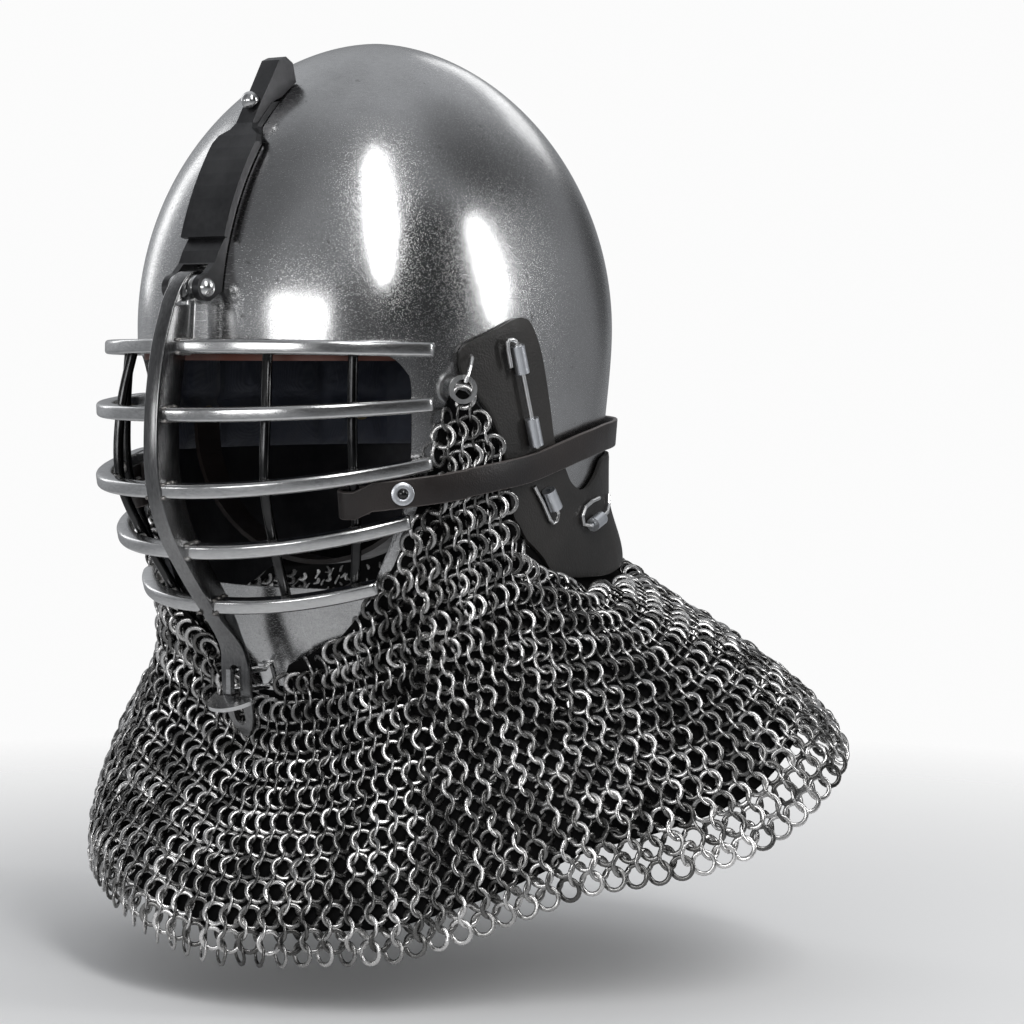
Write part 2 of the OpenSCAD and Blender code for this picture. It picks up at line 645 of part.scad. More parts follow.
module at_tube(t) {
    on_skin(t[0], t[1], tube_off + band_flare(t[0], t[1])) rotate([0, 0, t[2]]) rotate([-90, 0, 0]) children();
}

function tube_at(k) = skin(TUBES[k][0], TUBES[k][1], tube_off + band_flare(TUBES[k][0], TUBES[k][1]));

// The point on a tube's line at distance s above its middle
function tube_line(k, s) = tube_at(k)
    + s * (cos(TUBES[k][2]) * [0, 0, 1] - sin(TUBES[k][2]) * across_at(TUBES[k][0], TUBES[k][1]));

lock_top = tube_at(0);
lock_low = tube_at(1);
lock_dir = (lock_top - lock_low) / norm(lock_top - lock_low);
lock_gap = norm(lock_top - lock_low);

// The first two tubes share one line: z runs up it from the middle of the lower one
module lock_axis() {
    translate(lock_low) rotate([0, acos(lock_dir[2]), atan2(lock_dir[1], lock_dir[0])]) children();
}

module tube(l) {
    difference() {
        cylinder(h = l, d = tube_d, center = true, $fn = 32);
        cylinder(h = l + 2, d = lock_d + 0.1, center = true, $fn = 32);
    }
}

module vervelle_tubes() {
    color([0.72, 0.72, 0.72]) {
        lock_axis() tube(tube_l);
        lock_axis() translate([0, 0, lock_gap]) tube(tube_l);
        for (k = [2, 3]) at_tube(TUBES[k]) tube(tube_short);
    }
}

module vervelle_tubes_left() { vervelle_tubes(); }
module vervelle_tubes_right() { mirror([1, 0, 0]) vervelle_tubes(); }

// A pin drops through both tubes; its collar rests on the upper one and its end is bent over
module lock_rod() {
    aside = -across_at(TUBES[0][0], TUBES[0][1]);
    top = lock_top + (tube_l / 2) * lock_dir;
    color([0.7, 0.7, 0.7]) {
        lock_axis() {
            translate([0, 0, -tube_l / 2 - 1.3]) cylinder(h = lock_gap + tube_l + 1.4, d = lock_d, $fn = 32);
            translate([0, 0, lock_gap + tube_l / 2 + 0.02]) cylinder(h = 1, d = 4.4, $fn = 32);
        }
        bent_rod([top + 0.8 * lock_dir, top + 2 * lock_dir + 0.5 * aside, top + 3.1 * lock_dir + 2.4 * aside,
            top + 2.9 * lock_dir + 4.8 * aside, top + 1.2 * lock_dir + 6.5 * aside,
            top - 3 * lock_dir + 7 * aside, top - 11 * lock_dir + 7.2 * aside], 2.2, 12, outward(TUBES[0][0]));
    }
}

module lock_rod_left() { lock_rod(); }
module lock_rod_right() { mirror([1, 0, 0]) lock_rod(); }

// Bent wires below the third tube and round the fourth
module lock_wires() {
    low = tube_short / 2 + 0.6;
    wire = lock_d - 0.4;
    color([0.7, 0.7, 0.7]) {
        bent_rod([tube_line(2, -low), tube_line(2, -low - 2.5), on_band(95.4, -94.6, 2.2),
            on_band(94.3, -95.9, 1.6), on_band(93, -94, 1.4), on_band(90, -86, 1.4),
            on_band(86, -77, 1.4)], wire, 12, outward(91));
        bent_rod([tube_line(3, -low), tube_line(3, -low - 1.6), on_band(108.6, -98, 1.8),
            on_band(108.2, -93.5, 1.4), on_band(110, -89.2, 1.4), on_band(114, -86.6, 1.4),
            on_band(119, -85.4, 1.4)], wire, 12, outward(113));
        bent_rod([tube_line(3, low), tube_line(3, low + 2.5), on_band(124, -93, 1.8),
            on_band(127.5, -89.5, 1.4), on_band(128.5, -84.5, 1.4)], wire, 12, outward(123));
    }
}

module lock_wires_left() { lock_wires(); }
module lock_wires_right() { mirror([1, 0, 0]) lock_wires(); }

// A ring at the front corner of the band, hung from a hook through the leather
module corner_ties() {
    color([0.7, 0.7, 0.7])
    for (s = [1, -1]) mirrored(s) {
        on_skin(61.9, -28.7, gap + band_t + 3.9) rotate([0, -12, 0]) difference() {
            cylinder(h = 1.6, d = 14, center = true, $fn = 40);
            cylinder(h = 4, d = 9.6, center = true, $fn = 40);
        }
        bent_rod([on_band(64.6, -12.6, 1.1), on_band(64.5, -13.6, 3.2), on_band(63.6, -17.5, 5.6),
            on_band(62.6, -22.4, 6.6), on_band(62.2, -25.4, 5.6)], 1.8, 12, outward(154));
    }
}

// ---------------------------------------------------------------- mail
mail_half = [for (i = [0 : 46]) table_at(MAIL_EDGE, i / 46)];
mail_ring = concat([for (i = [45 : -1 : 1]) [-mail_half[i][0], mail_half[i][1], mail_half[i][2],
    mail_half[i][3], mail_half[i][4]]], mail_half);

// Radius of the mail's inner face: it lies on the helmet, then swings out over chest and shoulders
function mail_r(e, z) = let (a = abs(e[0]), rest = skin_r(e[0], max(z, e[3]), 0.8 + band_flare(a, z) * 0.9),
    t = clamp01((e[3] - z) / (e[3] - e[2])), chest = ease(t, 0.12, 0.9), shoulder = 1 - pow(1 - t, 1.65),
    side = ease(a, 55, 98))
    rest + (e[4] - mail_t - rest) * (chest * (1 - side) + shoulder * side);

// The wearer's right side hangs a little higher in front
function hem_z(e) = e[2] - (abs(e[0]) < 90 ? 9 * sin(2 * e[0]) : 0);

mail_rows = 15;
neck_rows = 6;                        // rows that lie on the helmet, above the level where the mail leaves it

function mail_z(e, i) = let (leave = min(e[3], e[1] - 0.6))
    i <= neck_rows ? e[1] + (leave - e[1]) * i / neck_rows
    : leave + (hem_z(e) - leave) * pow((i - neck_rows) / (mail_rows - neck_rows), 1.15);

module aventail() {
    faces = [for (t = [mail_t, 0]) [for (i = [0 : mail_rows]) [for (e = mail_ring)
        let (z = mail_z(e, i)) polar(e[0], mail_r(e, z) + t, z)]]];
    color([0.3, 0.3, 0.31]) sheet(faces[0], faces[1], ring = true);
}

// ---------------------------------------------------------------- parts
skull();
chin_plate();
chin_staple();
liner_pad();
brow_band();
liner_rivets();
hinge_leaf();
hinge_keeper_plate();
keeper_rivet();
hinge_pin();
visor_spine();
visor_knuckle();
thumb_tab();
grill_bar_1();
grill_bar_2();
grill_bar_3();
grill_bar_4();
grill_bar_5();
rod_front_left();
rod_rear_left();
rod_front_right();
rod_rear_right();
loop_tab_left();
loop_tab_right();
loop_rivet_left();
loop_rivet_right();
mounting_band();
vervelle_tubes_left();
vervelle_tubes_right();
lock_rod_left();
lock_rod_right();
lock_wires_left();
lock_wires_right();
corner_ties();
strap_long();
strap_short();
buckle_frame();
buckle_prong();
strap_keeper();
chin_strap();
chin_strap_rivets();
chin_buckle();
aventail();
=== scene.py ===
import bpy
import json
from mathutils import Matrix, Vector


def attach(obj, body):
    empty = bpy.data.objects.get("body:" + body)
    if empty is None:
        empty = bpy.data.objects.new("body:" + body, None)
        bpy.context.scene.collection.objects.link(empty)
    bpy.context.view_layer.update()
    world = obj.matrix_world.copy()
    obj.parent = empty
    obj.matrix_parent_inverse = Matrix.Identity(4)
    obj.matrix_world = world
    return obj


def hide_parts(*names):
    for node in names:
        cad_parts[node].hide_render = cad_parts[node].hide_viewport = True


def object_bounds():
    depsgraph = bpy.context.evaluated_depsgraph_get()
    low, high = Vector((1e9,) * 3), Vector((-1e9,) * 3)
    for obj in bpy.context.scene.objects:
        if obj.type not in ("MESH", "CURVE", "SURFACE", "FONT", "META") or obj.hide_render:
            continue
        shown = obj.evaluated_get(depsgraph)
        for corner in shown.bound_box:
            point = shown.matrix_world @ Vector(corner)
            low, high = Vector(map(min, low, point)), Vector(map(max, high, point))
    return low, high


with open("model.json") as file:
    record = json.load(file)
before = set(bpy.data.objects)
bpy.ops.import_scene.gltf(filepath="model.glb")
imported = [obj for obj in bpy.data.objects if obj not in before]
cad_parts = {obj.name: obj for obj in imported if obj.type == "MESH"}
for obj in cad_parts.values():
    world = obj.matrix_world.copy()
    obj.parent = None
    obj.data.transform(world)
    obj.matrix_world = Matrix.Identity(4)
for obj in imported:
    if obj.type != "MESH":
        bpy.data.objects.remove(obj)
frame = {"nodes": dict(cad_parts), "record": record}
cad_box = [list(map(float, c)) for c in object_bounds()]

import bpy, bmesh, json, math
import numpy as np
from mathutils import Vector, Matrix

rng = np.random.default_rng(7)
MM = 0.001

# ------------------------------------------------------------------ the helmet's surface, in mm
RISE, HALF_W, HALF_L = 146.0, 108.0, 125.5     # the dome above its widest level
POWER, DOME = 2.3, 0.54                        # how square it is from above, how full from the side
CHIN_TAPER, CHEEK_TAPER = 0.115, 0.03          # how fast front and cheeks draw in below that level
NAPE_WAIST = 0.041                             # how far the nape draws in, as a share


def ease(t, a, b):
    u = np.clip((np.asarray(t, float) - a) / (b - a), 0, 1)
    return u * u * (3 - 2 * u)


def oval(az, a, b):
    s, c = np.abs(np.sin(np.radians(az))), np.abs(np.cos(np.radians(az)))
    return 1 / ((s / a) ** POWER + (c / b) ** POWER) ** (1 / POWER)


def share(az, z):
    az, z = np.asarray(az, float), np.asarray(z, float)
    k = CHIN_TAPER - (CHIN_TAPER - CHEEK_TAPER) * ease(np.abs(az), 25, 60)
    back = ease(np.abs(az), 85, 130)
    top = np.clip(1 - (np.clip(z, 0, RISE) / RISE) ** 2, 0, 1) ** DOME
    return np.where(z > 0, top, 1 - (1 - back) * k * (z / 100) ** 2 - back * NAPE_WAIST * ease(-z, 0, 72))


def skin_r(az, z, off):
    p = share(az, z)
    return oval(az, HALF_W * p + off, HALF_L * p + off)


def polar(az, r, z):
    return np.stack([r * np.sin(np.radians(az)), -r * np.cos(np.radians(az)), z + 0 * r], -1)


def skin(az, z, off):
    az, z = np.broadcast_arrays(np.asarray(az, float), np.asarray(z, float))
    return polar(az, skin_r(az, z, off), np.where(z > 0, z * (1 + np.asarray(off) / RISE), z))


def meridian(z):
    """Degrees down from the crown at height z. Below the widest level it goes on past 90."""
    return np.where(z > 0, np.degrees(np.arccos(np.clip(z / RISE, -1, 1))), 90 - np.degrees(z / RISE))


def height_at(m):
    """The height at m degrees down from the crown."""
    return np.where(m <= 90, RISE * np.cos(np.radians(m)), -RISE * np.radians(m - 90))


def smooth_table(table, n):
    """Rows of a table resampled evenly by index, with a soft curve through them."""
    t = np.array(table, float)
    x = np.linspace(0, len(t) - 1, n)
    i = np.clip(np.floor(x).astype(int), 0, len(t) - 2)
    f = (x - i)[:, None]
    p0, p1, p2, p3 = t[np.clip(i - 1, 0, None)], t[i], t[i + 1], t[np.clip(i + 2, None, len(t) - 1)]
    return p1 + 0.5 * f * (p2 - p0 + f * (2 * p0 - 5 * p1 + 4 * p2 - p3 + f * (3 * (p1 - p2) + p3 - p0)))


# ------------------------------------------------------------------ mesh helpers
def new_object(name, verts, faces, material, body, slot, replaces=(), sharp=40):
    mesh = bpy.data.meshes.new(name)
    mesh.from_pydata([tuple(v) for v in np.asarray(verts) * MM], [], [tuple(f) for f in faces])
    mesh.validate()
    bm = bmesh.new()
    bm.from_mesh(mesh)
    bmesh.ops.remove_doubles(bm, verts=bm.verts, dist=1e-6)
    bmesh.ops.recalc_face_normals(bm, faces=bm.faces)
    bm.to_mesh(mesh)
    bm.free()
    mesh.polygons.foreach_set("use_smooth", [True] * len(mesh.polygons))
    if sharp:
        mesh.set_sharp_from_angle(angle=math.radians(sharp))
    ob = bpy.data.objects.new(name, mesh)
    bpy.context.scene.collection.objects.link(ob)
    mesh.materials.append(material)
    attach(ob, body)
    if replaces:
        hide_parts(*replaces)
    return ob


def bevel(ob, width, segments, degrees):
    b = ob.modifiers.new("edge", "BEVEL")
    b.width, b.segments = width, segments
    b.limit_method, b.angle_limit = "ANGLE", math.radians(degrees)


def grid_faces(rows, cols, base=0, ring=False, flip=False):
    i, j = np.meshgrid(np.arange(rows - 1), np.arange(cols if ring else cols - 1), indexing="ij")
    k = (j + 1) % cols
    q = np.stack([i * cols + j, i * cols + k, (i + 1) * cols + k, (i + 1) * cols + j], -1)
    q = q.reshape(-1, 4) + base
    return [tuple(f) for f in (q[:, ::-1] if flip else q)]


def closing_faces(rows, cols):
    """Faces from the last row of a ring grid back to its first."""
    last = (rows - 1) * cols
    return [(last + j, last + (j + 1) % cols, (j + 1) % cols, j) for j in range(cols)]


def end_caps(rows, cols):
    return [tuple(range(cols)), tuple(reversed(range((rows - 1) * cols, rows * cols)))]


def sheet(outer, inner, ring=False, crown=False):
    """A closed sheet between two grids of points (rows, cols, 3)."""
    rows, cols = outer.shape[:2]
    n = rows * cols
    verts = np.concatenate([outer.reshape(-1, 3), inner.reshape(-1, 3)])
    faces = grid_faces(rows, cols, 0, ring) + grid_faces(rows, cols, n, ring, True)
    last = cols if ring else cols - 1
    low = (rows - 1) * cols
    for j in range(last):
        k = (j + 1) % cols
        faces.append((low + j, low + k, n + low + k, n + low + j))
        if not crown:
            faces.append((j, n + j, n + k, k))
    if crown:
        verts = np.concatenate([verts, outer[0].mean(0)[None], inner[0].mean(0)[None]])
        for j in range(last):
            k = (j + 1) % cols
            faces.append((2 * n, k, j))
            faces.append((2 * n + 1, n + j, n + k))
    if not ring:
        for i in range(rows - 1):
            faces.append((i * cols, (i + 1) * cols, n + (i + 1) * cols, n + i * cols))
            e = cols - 1
            faces.append((i * cols + e, n + i * cols + e, n + (i + 1) * cols + e, (i + 1) * cols + e))
    return verts, faces


def loft(sections):
    """Sections (n, m, 3), each a closed loop, with the ends capped."""
    s = np.asarray(sections, float)
    n, m = s.shape[:2]
    return s.reshape(-1, 3), grid_faces(n, m, 0, True) + end_caps(n, m)


def round_rect(w, h, r, k=3):
    """A rounded rectangle, counter-clockwise, as (a, b) pairs."""
    pts = []
    for cx, cy, a0 in ((1, 1, 0), (-1, 1, 90), (-1, -1, 180), (1, -1, 270)):
        for t in range(k + 1):
            a = math.radians(a0 + 90 * t / k)
            pts.append((cx * (w / 2 - r) + r * math.cos(a), cy * (h / 2 - r) + r * math.sin(a)))
    return np.array(pts)


def tube_mesh(points, d, sides=16):
    p = np.asarray(points, float)
    t = np.gradient(p, axis=0)
    t /= np.linalg.norm(t, axis=1)[:, None]
    ref = np.array([0.31, 0.2, 0.93]) if abs(t[0][2]) < 0.8 else np.array([1.0, 0.1, 0])
    ang = np.arange(sides) * 2 * math.pi / sides
    rings = []
    for q, w in zip(p, t):
        a = np.cross(w, ref)
        a /= np.linalg.norm(a)
        b = np.cross(w, a)
        rings.append(q + d / 2 * (np.cos(ang)[:, None] * a + np.sin(ang)[:, None] * b))
    return loft(rings)


def join(parts):
    verts, faces, base = [], [], 0
    for v, f in parts:
        verts.append(np.asarray(v, float))
        faces += [tuple(i + base for i in q) for q in f]
        base += len(v)
    return np.concatenate(verts), faces


def blob(centre, radii, seed, lumps=0.12, n=10):
    """A small lumpy ball of weld metal."""
    g = np.random.default_rng(seed)
    u, v = np.meshgrid(np.linspace(0.02, math.pi - 0.02, n), np.arange(2 * n) * math.pi / n, indexing="ij")
    k = np.sin(3 * v + g.uniform(0, 6)) * np.sin(2 * u + g.uniform(0, 6)) + 0.4 * np.sin(5 * v + 3 * u)
    k = 1 + lumps * k
    ball = np.stack([np.sin(u) * np.cos(v) * k, np.sin(u) * np.sin(v) * k, np.cos(u) * k], -1)
    p = ball * radii + np.asarray(centre)
    return p.reshape(-1, 3), grid_faces(n, 2 * n, 0, True) + end_caps(n, 2 * n)


# ------------------------------------------------------------------ materials
def material(name, base, metallic=0.0, rough=0.5, build=None, **sockets):
    m = bpy.data.materials.new(name)
    m.use_nodes = True
    nt = m.node_tree
    b = nt.nodes["Principled BSDF"]
    b.inputs["Base Color"].default_value = (*base, 1)
    b.inputs["Metallic"].default_value = metallic
    b.inputs["Roughness"].default_value = rough
    for k, v in sockets.items():
        b.inputs[k.replace("_", " ")].default_value = v
    if build:
        build(nt, b)
    return m


class Nodes:
    """Short ways to add shader nodes in object coordinates."""

    def __init__(self, nt):
        self.nt = nt
        self.pos = nt.nodes.new("ShaderNodeTexCoord").outputs["Object"]

    def add(self, kind, **inputs):
        n = self.nt.nodes.new(kind)
        for k, v in inputs.items():
            key = int(k[1:]) if k[0] == "i" and k[1:].isdigit() else k.replace("_", " ")
            if isinstance(v, bpy.types.NodeSocket):
                self.nt.links.new(v, n.inputs[key])
            else:
                n.inputs[key].default_value = v
        return n

    def scaled(self, s, turn=(0, 0, 0)):
        n = self.add("ShaderNodeMapping", Vector=self.pos, Scale=s, Rotation=turn)
        return n.outputs[0]

    def noise(self, scale, detail=4, rough=0.55, vec=None, dist=0.0):
        n = self.add("ShaderNodeTexNoise", Vector=vec or self.pos, Scale=scale, Detail=detail,
                     Roughness=rough, Distortion=dist)
        return n.outputs["Fac"]

    def blend(self, *weighted):
        """The sum of (socket, weight) pairs."""
        total = None
        for socket, weight in reversed(weighted):
            part = self.math("MULTIPLY", socket, weight) if weight != 1 else socket
            total = part if total is None else self.math("ADD", part, total)
        return total

    def ramp(self, fac, *stops):
        n = self.add("ShaderNodeValToRGB", Fac=fac)
        e = n.color_ramp.elements
        while len(e) < len(stops):
            e.new(0.5)
        for el, (p, c) in zip(e, stops):
            el.position = p
            el.color = (*c, 1) if isinstance(c, tuple) else (c, c, c, 1)
        return n.outputs["Color"]

    def map(self, fac, a, b, c, d):
        n = self.add("ShaderNodeMapRange", Value=fac, From_Min=a, From_Max=b, To_Min=c, To_Max=d)
        return n.outputs[0]

    def math(self, op, a, b=0.0):
        n = self.nt.nodes.new("ShaderNodeMath")
        n.operation = op
        for i, v in enumerate((a, b)):
            if isinstance(v, bpy.types.NodeSocket):
                self.nt.links.new(v, n.inputs[i])
            else:
                n.inputs[i].default_value = v
        return n.outputs[0]

    def mix(self, fac, a, b):
        n = self.nt.nodes.new("ShaderNodeMix")
        n.data_type = "RGBA"
        for i, v in ((0, fac), (6, a), (7, b)):
            if isinstance(v, bpy.types.NodeSocket):
                self.nt.links.new(v, n.inputs[i])
            elif i:
                n.inputs[i].default_value = (*v, 1)
            else:
                n.inputs[i].default_value = v
        return n.outputs[2]

    def bump(self, height, distance, strength=1.0, after=None):
        n = self.add("ShaderNodeBump", Height=height, Distance=distance, Strength=strength)
        if after is not None:
            self.nt.links.new(after, n.inputs["Normal"])
        return n.outputs[0]

    def to(self, b, **links):
        for k, v in links.items():
            self.nt.links.new(v, b.inputs[k.replace("_", " ")])


def polished(dark, light, r0, r1, scale=1.0, dents=0.00025, brush=(260, 260, 30)):
    def build(nt, b):
        n = Nodes(nt)
        cloud = n.noise(7 * scale, 5, 0.6)
        brush_n = n.noise(9, 3, 0.6, n.scaled(brush))
        specks = n.noise(420, 2, 0.5)
        wear = n.blend((cloud, 0.6), (brush_n, 0.4))
        spot = n.ramp(specks, (0.66, 0.0), (0.74, 1.0))
        col = n.mix(n.map(wear, 0.3, 0.7, 0, 1), dark, light)
        col = n.mix(n.math("MULTIPLY", spot, 0.16), col, (0.12, 0.115, 0.11))
        n.to(b, Base_Color=col, Roughness=n.map(wear, 0.3, 0.7, r0, r1))
        low = n.noise(11 * scale, 2, 0.4)
        n1 = n.bump(low, dents * 6, 0.35)
        n.to(b, Normal=n.bump(brush_n, 0.00002, 0.35, n1))
    return build


def skull_steel(nt, b):
    n = Nodes(nt)
    cloud = n.noise(8, 7, 0.66)
    down = n.noise(9, 4, 0.65, n.scaled((230, 230, 14)))
    round_ = n.noise(9, 3, 0.6, n.scaled((26, 26, 300)))
    s1 = n.noise(7, 2, 0.5, n.scaled((16, 420, 420), (0.5, 0.35, 0.2)))
    s2 = n.noise(7, 2, 0.5, n.scaled((16, 420, 420), (0.1, 1.2, 1.1)))
    grain = n.noise(520, 3, 0.6)
    wear = n.blend((cloud, 0.5), (down, 0.32), (round_, 0.18))
    lines = n.math("MAXIMUM", n.map(s1, 0.63, 0.72, 0, 1), n.map(s2, 0.63, 0.72, 0, 1))
    spots = n.ramp(n.noise(230, 2, 0.5), (0.69, 0.0), (0.74, 1.0))
    col = n.mix(n.map(wear, 0.36, 0.62, 0, 1), (0.36, 0.36, 0.362), (0.66, 0.66, 0.662))
    col = n.mix(n.math("MULTIPLY", lines, 0.35), col, (0.8, 0.8, 0.8))
    col = n.mix(n.math("MULTIPLY", spots, 0.4), col, (0.14, 0.135, 0.13))
    rough = n.blend((n.map(wear, 0.36, 0.62, 0.27, 0.14), 1), (lines, 0.12))
    height = n.blend((down, 0.5), (grain, 0.08), (lines, 0.5))
    big = n.bump(n.noise(15, 4, 0.5), 0.0016, 0.3)
    n.to(b, Base_Color=col, Roughness=rough, Normal=n.bump(height, 0.00006, 0.5, big))


def leather(base, worn, grain=900, shine=(0.38, 0.55)):
    def build(nt, b):
        n = Nodes(nt)
        cells = n.add("ShaderNodeTexVoronoi", Vector=n.pos, Scale=grain)
        creases = n.noise(55, 5, 0.7, dist=0.6)
        patch = n.noise(16, 4)
        edge = n.nt.nodes.new("ShaderNodeAttribute")
        edge.attribute_name = "edge"
        col = n.mix(n.map(patch, 0.35, 0.68, 0, 1), base, worn)
        cut_edge = tuple(min(1, 2.4 * c + 0.05) for c in worn)
        col = n.mix(n.math("MULTIPLY", edge.outputs["Fac"], 0.8), col, cut_edge)
        n.to(b, Base_Color=col, Roughness=n.map(creases, 0.3, 0.7, *shine))
        height = n.blend((cells.outputs["Distance"], 0.5), (creases, 1))
        n.to(b, Normal=n.bump(height, 0.0004, 0.5))
    return build


def ring_metal(nt, b):
    n = Nodes(nt)
    patch = n.noise(60, 3)
    fine = n.noise(900, 3, 0.6)
    tone = n.nt.nodes.new("ShaderNodeAttribute")
    tone.attribute_name = "tone"
    k = n.blend((tone.outputs["Fac"], 0.75), (patch, 0.35))
    col = n.ramp(k, (0.12, (0.03, 0.029, 0.028)), (0.5, (0.22, 0.218, 0.214)), (0.9, (0.86, 0.85, 0.84)))
    n.to(b, Base_Color=n.mix(n.map(fine, 0.4, 0.7, 0, 0.35), col, (0.06, 0.055, 0.05)),
         Roughness=n.map(fine, 0.3, 0.7, 0.2, 0.36), Normal=n.bump(fine, 0.00005, 0.5))


def dark_metal(base, hi, rough=(0.3, 0.48)):
    def build(nt, b):
        n = Nodes(nt)
        patch, fine = n.noise(30, 5), n.noise(12, 3, 0.6, n.scaled((60, 60, 14)))
        n.to(b, Base_Color=n.mix(n.map(patch, 0.35, 0.7, 0, 1), base, hi),
             Roughness=n.map(fine, 0.3, 0.7, *rough), Normal=n.bump(fine, 0.00005, 0.4))
    return build


def cloth(nt, b):
    n = Nodes(nt)
    wx = n.add("ShaderNodeTexWave", Vector=n.pos, Scale=620, Distortion=0.6)
    wz = n.add("ShaderNodeTexWave", Vector=n.scaled((1, 1, 1), (0, 1.5708, 0)), Scale=620, Distortion=0.6)
    weave = n.math("MULTIPLY", wx.outputs["Fac"], wz.outputs["Fac"])
    wrinkles = n.bump(n.noise(22, 3, 0.6, dist=0.8), 0.006, 0.8)
    n.to(b, Base_Color=n.mix(n.noise(18, 4), (0.014, 0.018, 0.033), (0.04, 0.048, 0.075)),
         Normal=n.bump(n.math("ADD", weave, n.noise(70, 3)), 0.0003, 0.5, wrinkles),
         Roughness=n.map(n.noise(24), 0.3, 0.7, 0.34, 0.6))


# near black: painted shade for the sheet behind the mail rings
def painted_shade_surface(nt, b):
    n = Nodes(nt)
    n.to(b, Base_Color=n.mix(n.noise(40, 4), (0.003, 0.003, 0.0032), (0.008, 0.0078, 0.0078)),
         Normal=n.bump(n.noise(900, 3), 0.0003, 0.5))


def grey(v):
    return (v, v, v)


STEEL = material("polished_steel", grey(0.6), 1, 0.2, skull_steel)
BAR = material("bar_steel", grey(0.6), 1, 0.25,
               polished(grey(0.48), grey(0.8), 0.17, 0.27, 2, 0.00005, (30, 30, 110)))
# a much darker copy of the bar steel: painted shade that darkens the spine's front face
SHADED_SPINE = material("spine_steel_painted_shade", grey(0.4), 1, 0.3,
                 polished((0.1, 0.1, 0.102), grey(0.32), 0.17, 0.28, 2, 0.00003, (120, 120, 16)))
PLATE = material("dark_plate", grey(0.2), 1, 0.4, dark_metal((0.055, 0.055, 0.058), (0.12, 0.12, 0.123)))
ROD = material("dark_rod", grey(0.1), 1, 0.3, dark_metal((0.022, 0.022, 0.023), grey(0.075), (0.13, 0.26)))
WELD = material("weld", grey(0.3), 1, 0.4, dark_metal((0.2, 0.19, 0.18), (0.42, 0.41, 0.4), (0.28, 0.5)))
INNER = material("inner_steel", (0.05, 0.05, 0.055), 1, 0.5,
                 dark_metal((0.03, 0.03, 0.034), (0.07, 0.07, 0.075), (0.45, 0.6)))
HEADS = material("bright_heads", grey(0.7), 1, 0.2, polished(grey(0.6), grey(0.78), 0.14, 0.26, 6, 0.00005))
ZINC = material("zinc", (0.7, 0.72, 0.75), 1, 0.35,
                polished((0.6, 0.62, 0.66), (0.78, 0.8, 0.83), 0.28, 0.45, 6, 0.00005))
WIRE = material("steel_wire", grey(0.7), 1, 0.25, polished(grey(0.66), grey(0.85), 0.24, 0.36, 6, 0.00003))
BRASS = material("brass", (0.6, 0.45, 0.2), 1, 0.35,
                 polished((0.35, 0.26, 0.12), (0.6, 0.46, 0.24), 0.3, 0.5, 6, 0.00005))
BAND = material("band_leather", (0.1, 0.09, 0.08), 0, 0.45,
                leather((0.014, 0.013, 0.012), (0.03, 0.027, 0.025)), Specular_IOR_Level=0.45)
STRAP = material("strap_leather", (0.05, 0.04, 0.04), 0, 0.4,
                 leather((0.010, 0.008, 0.008), (0.024, 0.018, 0.016), 1100, (0.3, 0.48)),
                 Specular_IOR_Level=0.5)
RED = material("red_leather", (0.1, 0.03, 0.02), 0, 0.5, leather((0.08, 0.022, 0.013), (0.17, 0.052, 0.03)))
CLOTH = material("liner_cloth", (0.02, 0.025, 0.04), 0, 0.5, cloth, Sheen_Weight=0.25)
# a near-black sheet material: painted shade behind the mail rings
SHADE_SHEET = material("painted_shade_sheet", grey(0.004), 0, 0.9, painted_shade_surface, Specular_IOR_Level=0.05)
MAIL = material("mail_steel", grey(0.3), 1, 0.35, ring_metal)

BY_SLOT = {"polished_steel": STEEL, "dark_plate": PLATE, "bright_heads": HEADS, "bar_steel": BAR,
           "dark_rod": ROD, "steel_wire": WIRE, "zinc_fittings": ZINC, "brass_rivets": BRASS,
           "liner_cloth": CLOTH, "red_leather": RED, "band_leather": BAND, "strap_leather": STRAP,
           "mail_steel": MAIL}


def edge_attribute(ob, values):
    a = ob.data.attributes.new("edge", "FLOAT", "POINT")
    a.data.foreach_set("value", np.asarray(values, np.float32))


# ------------------------------------------------------------------ skull and chin plate
BROW, SHELL = -10, 2
# azimuth and height along half of the skull's edge, and the azimuth its meridian starts from
EDGE = [[0, BROW, 0], [15, BROW, 14], [30, BROW, 28], [40, BROW - 0.5, 38.5], [45.5, BROW - 3.5, 44],
        [48.8, BROW - 10, 48.5], [50, -26, 52], [50.2, -45, 56], [50, -66, 61], [48.6, -92, 66],
        [44, -111, 71], [41, -125, 76], [40, -142, 81], [44, -156, 87], [60, -158, 95],
        [78, -150, 105], [98, -132, 118], [125, -112, 135], [150, -102, 155], [180, -98, 180]]
half = smooth_table(EDGE, 131)
half[0], half[-1] = EDGE[0], EDGE[-1]
rim = np.concatenate([half[-2:0:-1] * [-1, 1, -1], half])


def skull_grid(off, rows=84):
    t = np.linspace(0, 1, rows)[:, None]
    az = rim[:, 2] + (rim[:, 0] - rim[:, 2]) * np.clip((t - 0.1) / 0.9, 0, 1) ** 2
    return skin(az, height_at(2.2 + (meridian(rim[:, 1]) - 2.2) * t), off)


v, f = sheet(skull_grid(0), skull_grid(-SHELL), ring=True, crown=True)
skull = new_object("skull_shell", v, f, STEEL, "helmet", "polished_steel", ["skull"], sharp=50)
skull.data.materials.append(INNER)
for poly in skull.data.polygons:
    c = poly.center
    if poly.normal.dot(Vector((c.x, c.y, max(c.z, 0)))) < 0 and abs(poly.normal.z) < 0.999:
        poly.material_index = 1


